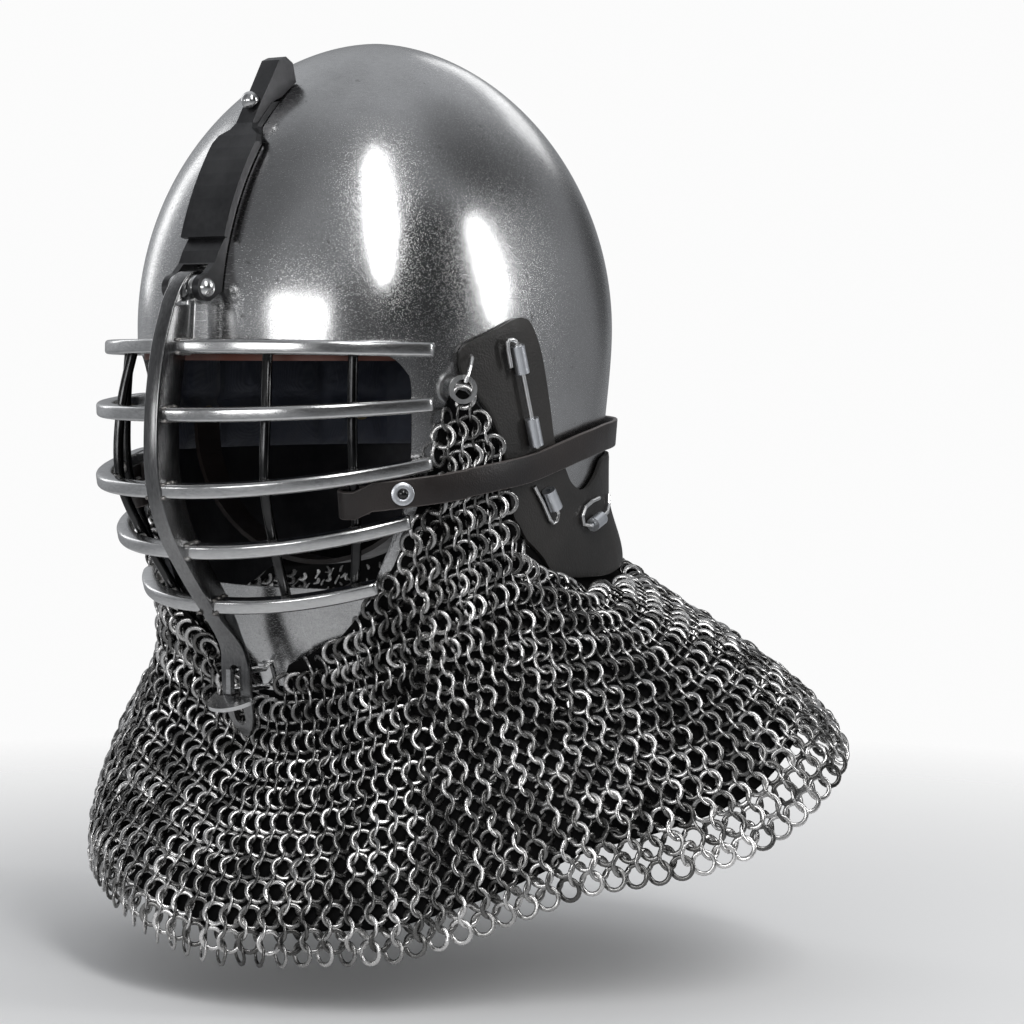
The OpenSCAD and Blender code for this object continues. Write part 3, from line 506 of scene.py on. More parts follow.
def skin_normals(p):
    """Outward normals of the skull's outer face at points p, in mm."""
    a = np.degrees(np.arctan2(p[:, 0], -p[:, 1]))
    m = np.clip(meridian(p[:, 2]), 1.6, None)

    def at(az, m):
        return skin(az, height_at(m), 0.0)

    n = np.cross(at(a + 0.6, m) - at(a - 0.6, m), at(a, m - 0.8) - at(a, m + 0.8))
    n /= np.linalg.norm(n, axis=1)[:, None]
    return np.where((np.hypot(p[:, 0], p[:, 1]) < 3)[:, None], [0.0, 0, 1], n)


co = np.array([q.co[:] for q in skull.data.vertices]) / MM
azs = np.degrees(np.arctan2(co[:, 0], -co[:, 1]))
on_face = np.hypot(co[:, 0], co[:, 1]) > skin_r(azs, co[:, 2], -0.5)
on_face |= co[:, 2] > RISE - 0.4
custom = np.zeros((len(skull.data.loops), 3))
normal_at = skin_normals(co)
for poly in skull.data.polygons:
    if all(on_face[i] for i in poly.vertices):
        for li in poly.loop_indices:
            custom[li] = normal_at[skull.data.loops[li].vertex_index]
skull.data.normals_split_custom_set([tuple(n) for n in custom])


CHIN_TOP, CHIN_LOW = -126, -180


def chin_off(az, z):
    """Leans in towards the mouth, with a crease down the middle."""
    lean = (z - CHIN_LOW) / (CHIN_TOP - CHIN_LOW) * (1 - ease(np.abs(az), 12, 40))
    return -3.8 - 6.7 * lean + 2.2 * (1 - np.minimum(1, np.abs(az) / 24))


az, z = np.meshgrid(np.linspace(-52, 52, 105), np.linspace(CHIN_TOP, CHIN_LOW, 40))
v, f = sheet(skin(az, z, chin_off(az, z)), skin(az, z, chin_off(az, z) - SHELL))
chin = new_object("chin_guard", v, f, STEEL, "helmet", "polished_steel", ["chin_plate"], sharp=35)
bevel(chin, 0.0004, 2, 60)

# ------------------------------------------------------------------ grill
# each bar: reach in front, half width, height, lean in degrees, azimuth of its end
BARS = [[148, 115, -8, -1.3, 53], [157.3, 111.8, -40.7, 3.2, 53], [158.2, 110.5, -77.4, 8.7, 53.2],
        [142.7, 108.5, -107.3, 13.5, 48.5], [124.1, 104.5, -135, 17, 41]]
ROD_X = {"front": [46, 50, 49.7, 44.5, 38.5], "rear": [77, 78, 78, 74, 66]}
BAR_H, BAR_D, ROD_D, SPINE_W = 7.0, 8.0, 5.0, 9.6


def bar_place(k, p):
    """Turn a point of bar k's own plane to its lean."""
    lean = math.radians(BARS[k][3])
    y0, z0 = -BARS[k][0], BARS[k][2]
    p = np.array(p, float)
    y, z = p[..., 1] - y0, p[..., 2]
    out = p.copy()
    out[..., 1] = y0 + y * math.cos(lean) - z * math.sin(lean)
    out[..., 2] = z0 + y * math.sin(lean) + z * math.cos(lean)
    return out


def bar_mesh(k, side):
    front, wide, _, _, end = BARS[k]
    a = np.linspace(1.2, end, 60)
    mid = polar(a, oval(a, wide - BAR_D / 2, front - BAR_D / 2), 0)
    tip_dir = mid[-1] - mid[-2]
    tip_dir /= np.linalg.norm(tip_dir)
    rounds = [(math.sin(t) * BAR_D / 2, math.cos(t)) for t in np.linspace(0.25, math.pi / 2 - 0.06, 7)]
    stations = [(p, 1.0) for p in mid] + [(mid[-1] + tip_dir * d, w) for d, w in rounds]
    sect = round_rect(BAR_D, BAR_H, 1.7, 4)
    tang = np.gradient(np.array([s[0] for s in stations]), axis=0)
    loops = []
    for (p, w), t in zip(stations, tang):
        t = t / np.linalg.norm(t)
        nrm = np.array([t[1], -t[0], 0])
        if nrm @ np.array([p[0], p[1], 0]) < 0:
            nrm = -nrm
        loops.append([p + nrm * s * max(w, 0.02) + np.array([0, 0, h]) for s, h in sect])
    v, f = loft(loops)
    return bar_place(k, v) * [side, 1, 1], f


def behind_bar(k, x, extra=0.0):
    inset = BAR_D + ROD_D / 2 + 0.3 - extra
    b, a = BARS[k][0] - inset, BARS[k][1] - inset
    y = -b * (1 - (x / a) ** POWER) ** (1 / POWER)
    return bar_place(k, np.array([x, y, 0.0]))


for k in range(5):
    v, f = join([bar_mesh(k, 1), bar_mesh(k, -1)])
    # the halves stop just inside the spine's flanks
    v[:, 0] = np.where(np.abs(v[:, 0]) < SPINE_W / 2, np.sign(v[:, 0]) * (SPINE_W / 2 - 0.05), v[:, 0])
    new_object(f"bar_{k + 1}", v, f, BAR, "visor", "bar_steel", [f"grill_bar_{k + 1}"], sharp=50)


def past_end(p, q, by=3):
    """A point beyond p on the line from q."""
    return p + (p - q) / np.linalg.norm(p - q) * by


weld_parts = []
seed = 0
for name, side in (("left", 1), ("right", -1)):
    for which in ("front", "rear"):
        pts = np.array([behind_bar(k, ROD_X[which][k]) for k in range(5)])
        path = np.array([past_end(pts[0], pts[1]), *pts, past_end(pts[-1], pts[-2])])
        v, f = tube_mesh(smooth_table(path, 61) * [side, 1, 1], ROD_D)
        rod = f"rod_{which}_{name}"
        new_object(f"{rod}_bar", v, f, ROD, "visor", "dark_rod", [rod], sharp=60)
        for k in range(5):
            seed += 1
            q = behind_bar(k, ROD_X[which][k], 1.9) * [side, 1, 1]
            weld_parts.append(blob(q, (3.6, 2.0, 3.0), seed=seed))
for k in range(5):
    for side in (1, -1):
        for dy in (1.2, 4.4, 7.4):
            seed += 1
            c = bar_place(k, np.array([side * (SPINE_W / 2 + 0.3), -BARS[k][0] + dy, 0]))
            for dz in (-3.2, 3.2):
                weld_parts.append(blob(c + [0, 0, dz], (1.7, 2.1, 1.1), seed=seed, n=7))
v, f = join(weld_parts)
new_object("weld_beads", v, f, WELD, "visor", "bar_steel", sharp=0)

# the spine: a lofted flat bar that widens into the hasp, with its slot cut through.
# y and z down its front face and its rear face
SPINE_FRONT = [[-130.5, 27.6], [-134.6, 28.2], [-139.5, 26.2], [-145, 20], [-149.6, 11],
               [-155.7, -7.5], [-160, -33], [-161.3, -57.5], [-160, -74], [-156.4, -88],
               [-150.5, -101], [-143.4, -112], [-133, -126], [-121.5, -140], [-111.5, -151],
               [-107, -158], [-105.4, -166], [-104.6, -178], [-101.6, -190], [-97.2, -200.5]]
SPINE_REAR = [[-138.6, 4], [-140.4, -8], [-144.6, -34], [-145.6, -57], [-144.8, -70], [-141.5, -83],
              [-136.5, -95], [-130.5, -105.5], [-123, -117], [-114, -130], [-108.5, -141],
              [-106, -149], [-103.4, -157], [-102, -166], [-101.4, -178], [-98.6, -189],
              [-94.2, -199.2]]


def arc_resample(pts, n):
    p = smooth_table(pts, 400)
    d = np.concatenate([[0], np.cumsum(np.linalg.norm(np.diff(p, axis=0), axis=1))])
    s = np.linspace(0, d[-1], n)
    return np.stack([np.interp(s, d, p[:, i]) for i in range(p.shape[1])], -1)


HASP_HEIGHTS = [-201, -199.4, -196.4, -191, -184, -164, -157, -147, -140, 60]
HASP_HALF_WIDTHS = [2.6, 2.6, 6.2, 8.3, 9.5, 9.5, 8.0, 6.0, 4.8, 4.8]


def flat_bar(front, rear, width_at, corner, share_of_depth, least=0.0):
    """A lofted bar between two lines of (y, z) points."""
    loops = []
    for (fy, fz), (ry, rz) in zip(front, rear):
        c = np.array([(fy + ry) / 2, (fz + rz) / 2])
        u = np.array([fy - ry, fz - rz])
        depth = max(np.linalg.norm(u), least)
        u /= np.linalg.norm(u)
        sect = round_rect(width_at(c[1]), depth, min(corner, depth * share_of_depth), 3)
        loops.append([[a, c[0] + u[0] * b, c[1] + u[1] * b] for a, b in sect])
    return loft(loops)


def spine_width(z):
    return 2 * np.interp(z, HASP_HEIGHTS, HASP_HALF_WIDTHS)


spine_low = flat_bar(arc_resample(SPINE_FRONT[4:], 110), arc_resample([[-137.6, 12]] + SPINE_REAR, 110),
                     spine_width, 1.1, 0.32)
# the hook over the knuckle, whose inner face is part of a circle round the hinge pin
PIN_Y, PIN_Z, HOOK_R = -134.4, 20, 6.5
turn = np.radians(np.linspace(-25, 118, 40))
inner = np.stack([PIN_Y - HOOK_R * np.sin(turn), PIN_Z + HOOK_R * np.cos(turn)], -1)
spine_top = flat_bar(smooth_table(SPINE_FRONT[:5], 40), inner, lambda z: SPINE_W, 1.0, 0.3, 0.4)
v, f = join([spine_low, spine_top])
spine = new_object("spine_bar", v, f, SHADED_SPINE, "visor", "bar_steel", ["visor_spine"], sharp=45)
# slot cutter
SLOT_R, SLOT_TOP, SLOT_LOW = 3.6, -168.1, -191.0
ring = []
for deg in range(0, 360, 12):
    a = math.radians(deg)
    ring.append((SLOT_R * math.cos(a), (SLOT_TOP if deg < 180 else SLOT_LOW) + SLOT_R * math.sin(a)))
cut_v, cut_f = loft([[[x, y, zz] for x, zz in ring] for y in (-115, -88)])
cm = bpy.data.meshes.new("cut")
cm.from_pydata([tuple(p) for p in np.array(cut_v) * MM], [], cut_f)
cutter = bpy.data.objects.new("cut", cm)
bpy.context.scene.collection.objects.link(cutter)
bo = spine.modifiers.new("slot", "BOOLEAN")
bo.object, bo.operation, bo.solver = cutter, "DIFFERENCE", "EXACT"
dg = bpy.context.evaluated_depsgraph_get()
done = bpy.data.meshes.new_from_object(spine.evaluated_get(dg))
spine.modifiers.remove(bo)
old = spine.data
spine.data = done
bpy.data.meshes.remove(old)
bpy.data.objects.remove(cutter)

# ------------------------------------------------------------------ padding, brow binding
def liner_low(a):
    a = np.abs(a)
    return np.where(a < 52, 4, -62 + 66 * (1 - ease(a, 52, 62)))


az = np.arange(-180, 180, 2.0)[None, :]
t = np.linspace(0, 1, 60)[:, None]
z = height_at(16 + (meridian(liner_low(az)) - 16) * t)
az2 = az + 0 * z
quilt = np.abs(np.sin(np.radians(az2 * 9))) ** 0.5 * (1 - 0.85 * np.exp(-((t * 5 % 1 - 0.5) / 0.07) ** 2))
rim_pull = np.clip(np.minimum(t * 14, (1 - t) * 14), 0, 1) ** 0.5
pad = 5.5 + 7.0 * quilt * rim_pull
v, f = sheet(skin(az2, z, -2.7), skin(az2, z, -2.7 - pad), ring=True, crown=True)
liner = new_object("padding", v, f, CLOTH, "helmet", "liner_cloth", ["liner_pad"], sharp=0)

az, z = np.meshgrid(np.linspace(-47, 47, 120), np.linspace(3, -15, 14))
wave = 0.25 * np.sin(np.radians(az * 14)) * np.clip((-z) / 15, 0, 1)
v, f = sheet(skin(az, z, -2.9 + wave * 0.3), skin(az, z, -5.4 + wave))
new_object("brow_binding", v, f, RED, "helmet", "red_leather", ["brow_band"], sharp=50)

# ------------------------------------------------------------------ leather band
# azimuth, top and bottom of half the band
BAND_EDGE = [[61.8, -11.5, -16.5], [63.2, -7.4, -24], [66, -5, -30], [71, -1, -42], [75, 2, -58],
             [79, 5, -88], [82, 5.6, -96], [85, 2.3, -103], [88.8, -11.5, -108], [92.4, -36, -113],
             [95, -55, -118], [98, -65, -121], [100.5, -69, -122], [103.6, -76, -123.5],
             [108, -80, -124.5], [112, -80.3, -124.8], [115.4, -78, -125], [120, -73, -125],
             [125, -66.5, -124], [133, -64, -121.5], [150, -63, -117], [180, -62, -114]]
bh = smooth_table(BAND_EDGE, 120)
bh[:, 0] = np.maximum.accumulate(bh[:, 0])
line = np.concatenate([bh, (bh[:-1] * [-1, 1, 1] + [360, 0, 0])[::-1]])


def flare(a, z):
    return 7 * ease(np.abs(a), 100, 135) * ease(-z, 84, 118)


def wrap(a):
    return np.where(a > 180, a - 360, a)


t = np.linspace(0, 1, 26)[:, None]
z = line[:, 1] + (line[:, 2] - line[:, 1]) * t
a = wrap(line[:, 0]) + 0 * z
pinch = 0.35 * np.minimum(1, np.minimum(t, 1 - t) * 26)
inside = 0.3 + 0.8 * ease(np.abs(a), 80, 105)
v, f = sheet(skin(a, z, 2.95 + pinch + flare(a, z)), skin(a, z, inside + flare(a, z)))
band = new_object("mail_band", v, f, BAND, "helmet", "band_leather", ["mounting_band"], sharp=40)
edge_attribute(band, np.zeros(len(band.data.vertices)))
bevel(band, 0.0006, 3, 50)

# ------------------------------------------------------------------ straps
STRAP_H, STRAP_T = 14.0, 2.3
# azimuth, height and offset of the strap's middle line
STRAP_LINE = np.array([[36, -81.2, 8.6], [44, -79, 8.6], [50, -77.4, 8.6], [58, -75.4, 8.6],
                       [66, -72.5, 8.6], [74, -70.2, 7.9], [80, -68.8, 6.6], [86, -66.9, 5.2],
                       [93, -63.8, 4.2], [105, -58.8, 3.9], [120, -54.5, 3.9], [140, -52.5, 3.9],
                       [180, -51, 3.9]])


def strap_z(a):
    return np.interp(np.abs(a), STRAP_LINE[:, 0], STRAP_LINE[:, 1])


def strap_off(a):
    return np.interp(np.abs(a), STRAP_LINE[:, 0], STRAP_LINE[:, 2])


STRAP_SECT = round_rect(STRAP_H, STRAP_T, 0.7, 3)


def blurred(values):
    return np.convolve(np.pad(values, 4, mode="edge"), np.ones(9) / 9, "valid")


def strip_sections(az_list, lift):
    loops = []
    for a, o, zc in zip(az_list, blurred(strap_off(az_list)), blurred(strap_z(az_list))):
        wa = float(wrap(np.array(a)))
        mid = max(o, strap_off(wa)) + lift + STRAP_T / 2
        loops.append([skin(wa, zc + h, mid + b) for h, b in STRAP_SECT])
    return np.array(loops)


def strap_object(name, mesh, body, node):
    """A leather strip with paler cut edges: the short sides of every section."""
    ob = new_object(name, *mesh, STRAP, body, "strap_leather", [node], sharp=50)
    side = (np.abs(STRAP_SECT[:, 0]) > STRAP_H / 2 - 0.45).astype(float)
    edge_attribute(ob, np.resize(side, len(ob.data.vertices)))


for name, az_from, az_to, node in (("strap_round_back", 57.6, 259.8, "strap_long"),
                                   ("strap_buckle_side", -92.8, -57.6, "strap_short")):
    az_list = np.linspace(az_from, az_to, int(abs(az_to - az_from) * 1.2) + 12)
    strap_object(name, loft(strip_sections(az_list, 0)), "helmet", node)

# loop tabs: one strip round the rear rod, then back over the strap
loop_a, loop_b = behind_bar(2, 78), behind_bar(3, 74)
loop_mid = (loop_a + loop_b) / 2
loop_dir = (loop_b - loop_a) / np.linalg.norm(loop_b - loop_a)


def tab_mesh(side):
    e1 = np.array([loop_mid[0], loop_mid[1], 0]) / np.hypot(loop_mid[0], loop_mid[1])
    e1 = e1 - loop_dir * (e1 @ loop_dir)
    e1 /= np.linalg.norm(e1)
    e2 = np.cross(loop_dir, e1)
    rc = ROD_D / 2 + 0.3 + STRAP_T / 2
    strip = strip_sections(np.linspace(62, 41.2, 36), 2.6)
    if (strip[0].mean(0) - loop_mid) @ e2 < 0:
        e2 = -e2
    # out past the rod, round, and back behind it
    way = [(a, 0.0) for a in (0, -1.2, -2.4)] + [(-3.0, t) for t in range(12, 180, 12)]
    way += [(a, 180.0) for a in (-3, -1, 1, 3, 5, 6.5)]
    ring = []
    for a, t in way:
        d = e1 * math.cos(math.radians(t)) - e2 * math.sin(math.radians(t))
        ring.append([loop_mid + e2 * a + d * (rc + b) - loop_dir * h for h, b in STRAP_SECT])
    v, f = loft(np.concatenate([strip, np.array(ring)]))
    return v * [side, 1, 1], f


for name, side in (("left", 1), ("right", -1)):
    strap_object(f"loop_tab_{name}_leather", tab_mesh(side), f"tab_{name}", f"loop_tab_{name}")

# a zinc washer under the domed head of each loop tab's rivet
SIDES = 40
RIVET_AZ = 47.5


def turned(profile):
    """A profile of (radius, height) pairs turned round z."""
    t = np.arange(SIDES) * 2 * math.pi / SIDES
    return np.array([np.stack([r * np.cos(t), r * np.sin(t), h + 0 * t], -1) for r, h in profile])


wz, wo = float(strap_z(RIVET_AZ)), float(strap_off(RIVET_AZ)) + 4.9
wp, wa, wb = skin(RIVET_AZ, wz, wo), skin(RIVET_AZ + 1, wz, wo), skin(RIVET_AZ - 1, wz, wo)
wx = (wa - wb) / np.linalg.norm(wa - wb)
wn = np.cross(wx, [0, 0, 1.0])
frame_w = np.stack([wx, [0, 0, 1.0], wn], -1)
washer = [(2.5, 0.45), (2.7, 0.95), (3.3, 1.15), (4.9, 1.1),
          (5.5, 0.75), (5.6, 0.35), (5.3, 0.05), (2.7, 0.05)]
head = [(2.35, 0.3), (2.35, 1.3), (2.15, 1.75), (1.6, 2.2), (0.9, 2.45), (0.2, 2.52)]
for name, side in (("left", 1), ("right", -1)):
    washer_f = grid_faces(len(washer), SIDES, 0, True) + closing_faces(len(washer), SIDES)
    for what, (v, f), mat in (("washer", (turned(washer).reshape(-1, 3), washer_f), ZINC),
                              ("rivet_head", loft(turned(head)), ROD)):
        new_object(f"{what}_{name}", (v @ frame_w.T + wp) * [side, 1, 1], f, mat, f"tab_{name}",
                   "zinc_fittings", [f"loop_rivet_{name}"], sharp=35)

# ------------------------------------------------------------------ mail
# azimuth, top, hem, the height where the mail leaves the skull, and its radius at the hem
MAIL_EDGE = [[0, -181, -304, -182, 142], [8, -180, -303.5, -181, 142], [10.5, -167, -303, -178, 142],
             [18, -162.5, -300, -176, 142.5], [31, -152, -295, -172, 144],
             [38.6, -137, -293, -168, 146], [46, -117, -291, -160, 148.5],
             [51.2, -91, -287, -152, 150.5], [55.8, -66, -284, -140, 152],
             [57, -45, -283, -136, 152.5], [60, -31, -281, -134, 153.5],
             [62.5, -29, -279.5, -132.5, 155], [66, -34, -276, -130, 158], [71, -46, -272, -127, 164],
             [75, -62, -268, -124, 169], [79, -92, -265, -122, 176], [85, -107, -265, -120, 190],
             [92, -116, -262, -119.5, 208], [100, -125, -251, -126, 228],
             [108, -127.5, -229, -128, 244], [116, -128, -214, -128.5, 246],
             [128, -126, -212, -126.5, 235], [145, -121, -222, -121.5, 205],
             [160, -118, -231, -118.5, 184], [180, -117, -236, -117.5, 174]]
ME = np.array(MAIL_EDGE)


def soft_col(a, k, w=7.0):
    """The same table blurred over a few degrees, so that rings follow no kinks."""
    out = 0
    for d, g in zip(np.linspace(-w, w, 9), np.hanning(11)[1:-1]):
        b = np.abs(a + d)
        out = out + g * np.interp(np.where(b > 180, 360 - b, b), ME[:, 0], ME[:, k])
    return out / np.hanning(11)[1:-1].sum()


def hem_z(a):
    return soft_col(a, 2, 5) - np.where(np.abs(a) < 90, 9 * np.sin(np.radians(2 * a)), 0)


def mail_r(a, z):
    leave, hem, r1 = soft_col(a, 3), hem_z(a), soft_col(a, 4)
    rest = skin_r(a, np.maximum(z, leave), 3.3 + flare(a, z) * 0.9)
    t = np.clip((leave - z) / (leave - hem), 0, 1)
    chest, shoulder, side = ease(t, 0.12, 0.9), 1 - (1 - t) ** 1.65, ease(np.abs(a), 55, 98)
    return rest + (r1 - 2.6 - rest) * (chest * (1 - side) + shoulder * side)


# the draped surface as columns, each measured upwards from the hem
COLS, ROWS, MAIL_TOP = 720, 260, -8.0
ca = np.linspace(-180, 180, COLS + 1)[:-1]
low_z = hem_z(ca) + 1.2
Z = low_z + (MAIL_TOP - low_z) * np.linspace(0, 1, ROWS)[:, None]
AZ = ca + 0 * Z
S = polar(AZ, mail_r(AZ, Z), Z)
seg = np.linalg.norm(np.diff(S, axis=0), axis=2)
up = np.concatenate([np.zeros((1, COLS)), np.cumsum(seg, axis=0)])

RING_R, RING_W, RING_T = 5.3, 2.2, 1.3
PER_ROW, LONGEST_COLUMN = 112, 300


def azimuth(p):
    return math.degrees(math.atan2(p[0], -p[1]))


def mail_point(a, z):
    a, z = np.array(a), np.array(z)
    return polar(a, mail_r(a, z), z)


rows_at = [5.4]
while rows_at[-1] < LONGEST_COLUMN:
    s = rows_at[-1]
    rows_at.append(s + 6.1 + 1.4 * float(ease(s, 40, 100)))
rings = []
for i, s in enumerate(rows_at):
    frac = np.array([np.interp(s, up[:, c], np.arange(ROWS)) for c in range(COLS)])
    lo = np.clip(np.floor(frac).astype(int), 0, ROWS - 2)
    w = (frac - lo)[:, None]
    row = S[lo, np.arange(COLS)] * (1 - w) + S[lo + 1, np.arange(COLS)] * w
    loop = np.concatenate([row, row[:1]])
    d = np.concatenate([[0], np.cumsum(np.linalg.norm(np.diff(loop, axis=0), axis=1))])
    at = (np.arange(PER_ROW) + 0.5 * (i % 2)) / PER_ROW * d[-1]

    def along(where):
        return np.stack([np.interp(where, d, loop[:, k]) for k in range(3)], -1)

    tan = along((at + 2) % d[-1]) - along((at - 2) % d[-1])
    tan /= np.linalg.norm(tan, axis=1)[:, None]
    for p, tn in zip(along(at), tan):
        a0 = azimuth(p)
        if p[2] > np.interp(abs(a0), ME[:, 0], ME[:, 1]) - 3.0:
            continue
        rise = mail_point(a0, p[2] + 2.0) - mail_point(a0, p[2] - 2.0)
        rings.append((p, tn, rise / np.linalg.norm(rise), i, d[-1] / PER_ROW))

# one flat ring: eight corners round the wire, twenty steps round the ring
STEPS = 20
ang = np.arange(STEPS) * 2 * math.pi / STEPS
wire = np.array([(-0.5, -0.28), (-0.5, 0.28), (-0.22, 0.5), (0.22, 0.5),
                 (0.5, 0.28), (0.5, -0.28), (0.22, -0.5), (-0.22, -0.5)])
CORNERS = len(wire)
template = np.array([[[(RING_R + w * RING_W) * math.cos(a), (RING_R + w * RING_W) * math.sin(a), h * RING_T]
                      for w, h in wire] for a in ang])
# a slight flat where the ends overlap
template[..., 2] += 0.35 * np.exp(-((ang[:, None] - math.pi) / 0.35) ** 2)
tface = np.array(grid_faces(STEPS, CORNERS, 0, True) + closing_faces(STEPS, CORNERS))
buckets = {}
for p, tn, u, i, cell in rings:
    n = np.cross(tn, u)
    if n @ np.array([p[0], p[1], 20.0]) < 0:
        n = -n
    n /= np.linalg.norm(n)
    tn = np.cross(u, n)
    # rows lean both ways in turn, and more where the rings crowd
    tilt = math.radians(np.interp(cell, [6.5, 11.5], [42, 30]) + rng.normal(0, 6)) * (1 if i % 2 else -1)
    nod = math.radians(rng.normal(0, 5))
    spin = rng.uniform(0, 2 * math.pi)
    x = tn * math.cos(tilt) - n * math.sin(tilt)
    w = n * math.cos(tilt) + tn * math.sin(tilt)
    y = u * math.cos(nod) + w * math.sin(nod)
    w = np.cross(x, y)
    m = np.stack([x, y, w], -1)
    c, s = math.cos(spin), math.sin(spin)
    tx, ty, tz = np.moveaxis(template, -1, 0)
    q = np.stack([tx * c - ty * s, tx * s + ty * c, tz], -1)
    pos = p + rng.normal(0, 0.22, 3)
    v = (q.reshape(-1, 3) @ m.T) + pos
    buckets.setdefault(int(azimuth(p) % 360 // 60), []).append((v, rng.uniform(0.15, 0.95)))

for key, items in sorted(buckets.items()):
    verts = np.concatenate([v for v, _ in items]) * MM
    base = np.arange(len(items))[:, None, None] * STEPS * CORNERS
    faces = (tface[None] + base).reshape(-1, 4)
    mesh = bpy.data.meshes.new(f"mail_{key}")
    mesh.vertices.add(len(verts))
    mesh.vertices.foreach_set("co", verts.ravel())
    mesh.loops.add(faces.size)
    mesh.loops.foreach_set("vertex_index", faces.ravel())
    mesh.polygons.add(len(faces))
    mesh.polygons.foreach_set("loop_start", np.arange(len(faces)) * 4)
    mesh.polygons.foreach_set("use_smooth", [True] * len(faces))
    mesh.update(calc_edges=True)
    tone = mesh.attributes.new("tone", "FLOAT", "POINT")
    tone.data.foreach_set("value", np.repeat([t for _, t in items], STEPS * CORNERS).astype(np.float32))
    mesh.materials.append(MAIL)
    ob = bpy.data.objects.new(f"mail_{key}", mesh)
    bpy.context.scene.collection.objects.link(ob)
    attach(ob, "helmet")
    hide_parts("aventail")

# a near-black sheet behind the rings, painted shade that darkens the gaps between them, ending a little above
# the hem
ca = np.linspace(-180, 180, 181)[:-1]
top_z = soft_col(ca, 1, 3) + 1.5 + 9 * ease(np.abs(ca), 84, 100)
hz = hem_z(ca)
fr = np.linspace(0, 1, 70)[:, None]
low_z = np.minimum(hz + 17 + 9 * ease(np.abs(ca), 60, 100), top_z - 10)
Z = top_z + (low_z - top_z) * fr
AZ = ca + 0 * Z
R = mail_r(AZ, Z)
R = R + 0.5 * np.sin(np.radians(AZ * 11)) * ease(fr, 0.3, 1) - 3.4 * ease(np.abs(AZ), 100, 122)
v, f = sheet(polar(AZ, R - 2.2, Z), polar(AZ, R - 3.0, Z), ring=True)
# its flat size is the longest row by the longest column of its middle surface
shade_sheet = new_object("painted_shade_sheet", v, f, SHADE_SHEET, "helmet", "liner_cloth", ["aventail"], sharp=0)

# ------------------------------------------------------------------ CAD nodes that stay
THIN_EDGED = ("hinge_leaf", "hinge_keeper_plate", "thumb_tab", "chin_staple", "buckle_frame", "chin_buckle",
              "visor_knuckle", "vervelle_tubes_left", "vervelle_tubes_right", "strap_keeper", "buckle_prong")
slots = {s["node"]: s["material_slot"] for s in frame["record"]["subparts"]}
for node, ob in frame["nodes"].items():
    o = ob if isinstance(ob, bpy.types.Object) else bpy.data.objects.get(node)
    if o is None or o.type != "MESH":
        continue
    mat = BY_SLOT[slots[node]]
    for s in range(len(o.material_slots)):
        o.material_slots[s].material = mat
    o.data.polygons.foreach_set("use_smooth", [True] * len(o.data.polygons))
    o.data.set_sharp_from_angle(angle=math.radians(32))
    if node in THIN_EDGED:
        bevel(o, 0.0007 if "hinge" in node else 0.0004, 3, 40)

# ------------------------------------------------------------------ camera, light, floor
scene = bpy.context.scene
IMAGE, FOCAL, SENSOR = 1024, 3104, 36          # frame and focal length in the frame's own units; mm
VIEW_AZ, VIEW_DOWN = math.radians(40), math.atan(172 / FOCAL)
fwd = Vector((-math.sin(VIEW_AZ) * math.cos(VIEW_DOWN), math.cos(VIEW_AZ) * math.cos(VIEW_DOWN),
              -math.sin(VIEW_DOWN)))
cam = bpy.data.cameras.new("camera")
cam.lens, cam.sensor_width = SENSOR * FOCAL / IMAGE, SENSOR
cam_ob = bpy.data.objects.new("camera", cam)
scene.collection.objects.link(cam_ob)
cam_ob.location = Vector((1081.2, -1181.4, -5.1)) * MM
cam_ob.rotation_euler = fwd.to_track_quat("-Z", "Y").to_euler()
scene.camera = cam_ob


def direction(az_deg, elev_deg):
    a, e = math.radians(az_deg), math.radians(elev_deg)
    return Vector((math.sin(a) * math.cos(e), -math.cos(a) * math.cos(e), math.sin(e)))


def area(name, az_deg, elev_deg, dist, size, power, shape="RECTANGLE", roll=0):
    """A soft light aimed at the middle of the helmet."""
    lamp = bpy.data.lights.new(name, "AREA")
    lamp.shape, lamp.size, lamp.size_y = shape, size[0], size[1]
    lamp.energy = power
    o = bpy.data.objects.new(name, lamp)
    scene.collection.objects.link(o)
    away = dist * direction(az_deg, elev_deg)
    o.location = Vector((0, 0, -0.02)) + away
    turn = (-away).to_track_quat("-Z", "Y").to_matrix() @ Matrix.Rotation(math.radians(roll), 3, "Z")
    o.rotation_euler = turn.to_euler()


area("window", 12, 5, 2.6, (1.62, 0.5), 14)
area("key", 64, 41.5, 2.6, (0.56, 2.5), 30, shape="ELLIPSE", roll=-3)
area("side", 121, 16, 2.6, (0.4, 1.35), 12, shape="ELLIPSE")
area("left", -34, 3, 2.6, (0.36, 0.36), 2.2)
area("far_left", -95, 20, 2.6, (0.5, 1.4), 4)
area("back", -165, 30, 2.8, (1.4, 0.6), 3)

world = bpy.data.worlds.new("studio")
world.use_nodes = True
wt = world.node_tree
ROOM, DARKEST = 0.34, 0.03
soft, pale = wt.nodes["Background"], wt.nodes.new("ShaderNodeBackground")
soft.inputs["Color"].default_value = (0.8, 0.82, 0.85, 1)
pale.inputs["Color"].default_value, pale.inputs["Strength"].default_value = (0.97, 0.97, 0.97, 1), 1.0
way = wt.nodes.new("ShaderNodeTexCoord")


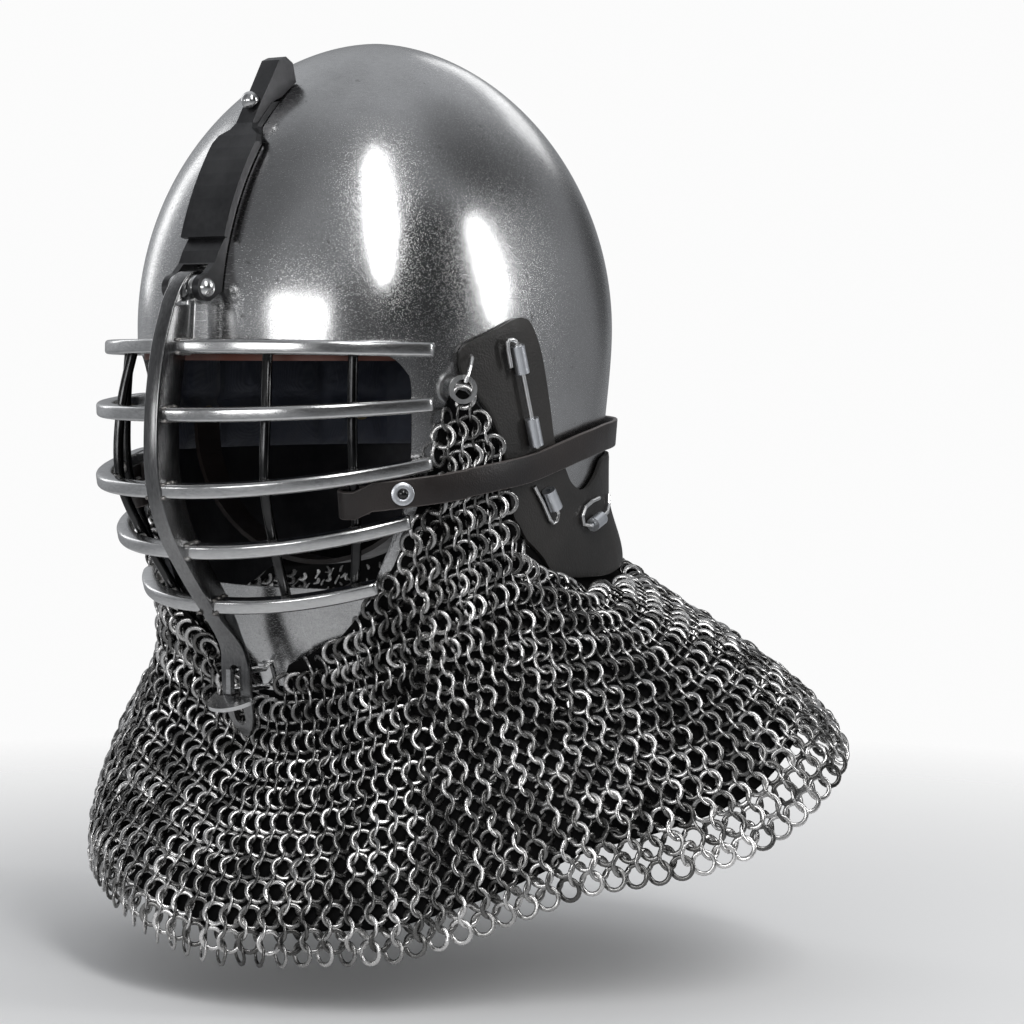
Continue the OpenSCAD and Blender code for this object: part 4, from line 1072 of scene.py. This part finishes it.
def toward(az_deg, elev_deg, inner, outer, full):
    """A round patch of the room: full strength within inner degrees, none past outer."""
    dot = wt.nodes.new("ShaderNodeVectorMath")
    dot.operation = "DOT_PRODUCT"
    wt.links.new(way.outputs["Generated"], dot.inputs[0])
    dot.inputs[1].default_value = direction(az_deg, elev_deg)
    r = wt.nodes.new("ShaderNodeMapRange")
    r.interpolation_type = "SMOOTHSTEP"
    for key, val in (("From Min", math.cos(math.radians(outer))), ("From Max", math.cos(math.radians(inner))),
                     ("To Min", 0), ("To Max", full)):
        r.inputs[key].default_value = val
    wt.links.new(dot.outputs["Value"], r.inputs["Value"])
    return r.outputs[0]


def world_math(operation, a, b):
    node = wt.nodes.new("ShaderNodeMath")
    node.operation = operation
    for socket, value in zip(node.inputs, (a, b)):
        if isinstance(value, bpy.types.NodeSocket):
            wt.links.new(value, socket)
        else:
            socket.default_value = value
    return node.outputs[0]


# darker and paler parts of the room, which the polished dome mirrors
PATCHES = ((93, 16, 12, 34, -0.34), (55, 4, 5, 26, -0.24), (-42, 38, 4, 40, -0.14), (-150, 62, 8, 50, 0.3),
           (150, 45, 3, 24, -0.26), (-95, 25, 5, 40, 0.25), (-175, 8, 2, 16, -0.25))
level = ROOM
for patch in PATCHES:
    level = world_math("ADD", toward(*patch), level)
wt.links.new(world_math("MAXIMUM", level, DARKEST), soft.inputs["Strength"])
path, both = wt.nodes.new("ShaderNodeLightPath"), wt.nodes.new("ShaderNodeMixShader")
wt.links.new(path.outputs["Is Camera Ray"], both.inputs[0])
wt.links.new(soft.outputs[0], both.inputs[1])
wt.links.new(pale.outputs[0], both.inputs[2])
wt.links.new(both.outputs[0], wt.nodes["World Output"].inputs["Surface"])
scene.world = world


def fading_floor(nt, b):
    """The floor fades into the backdrop away from the helmet."""
    n = Nodes(nt)
    far = n.add("ShaderNodeVectorMath", i0=n.pos)
    far.operation = "LENGTH"
    n.to(b, Alpha=n.map(far.outputs["Value"], 0.35, 1.0, 1, 0))


floor_mat = material("floor", (0.93, 0.93, 0.93), 0, 0.9, fading_floor)
floor_mesh = bpy.data.meshes.new("floor")
FLOOR_HALF, fz = 9, cad_box[0][2] - 0.02
corners = [(x * FLOOR_HALF, y * FLOOR_HALF, fz) for x, y in ((-1, -1), (1, -1), (1, 1), (-1, 1))]
floor_mesh.from_pydata(corners, [], [(0, 1, 2, 3)])
floor_ob = bpy.data.objects.new("floor", floor_mesh)
scene.collection.objects.link(floor_ob)
floor_mesh.materials.append(floor_mat)
scene.view_settings.view_transform = "Standard"
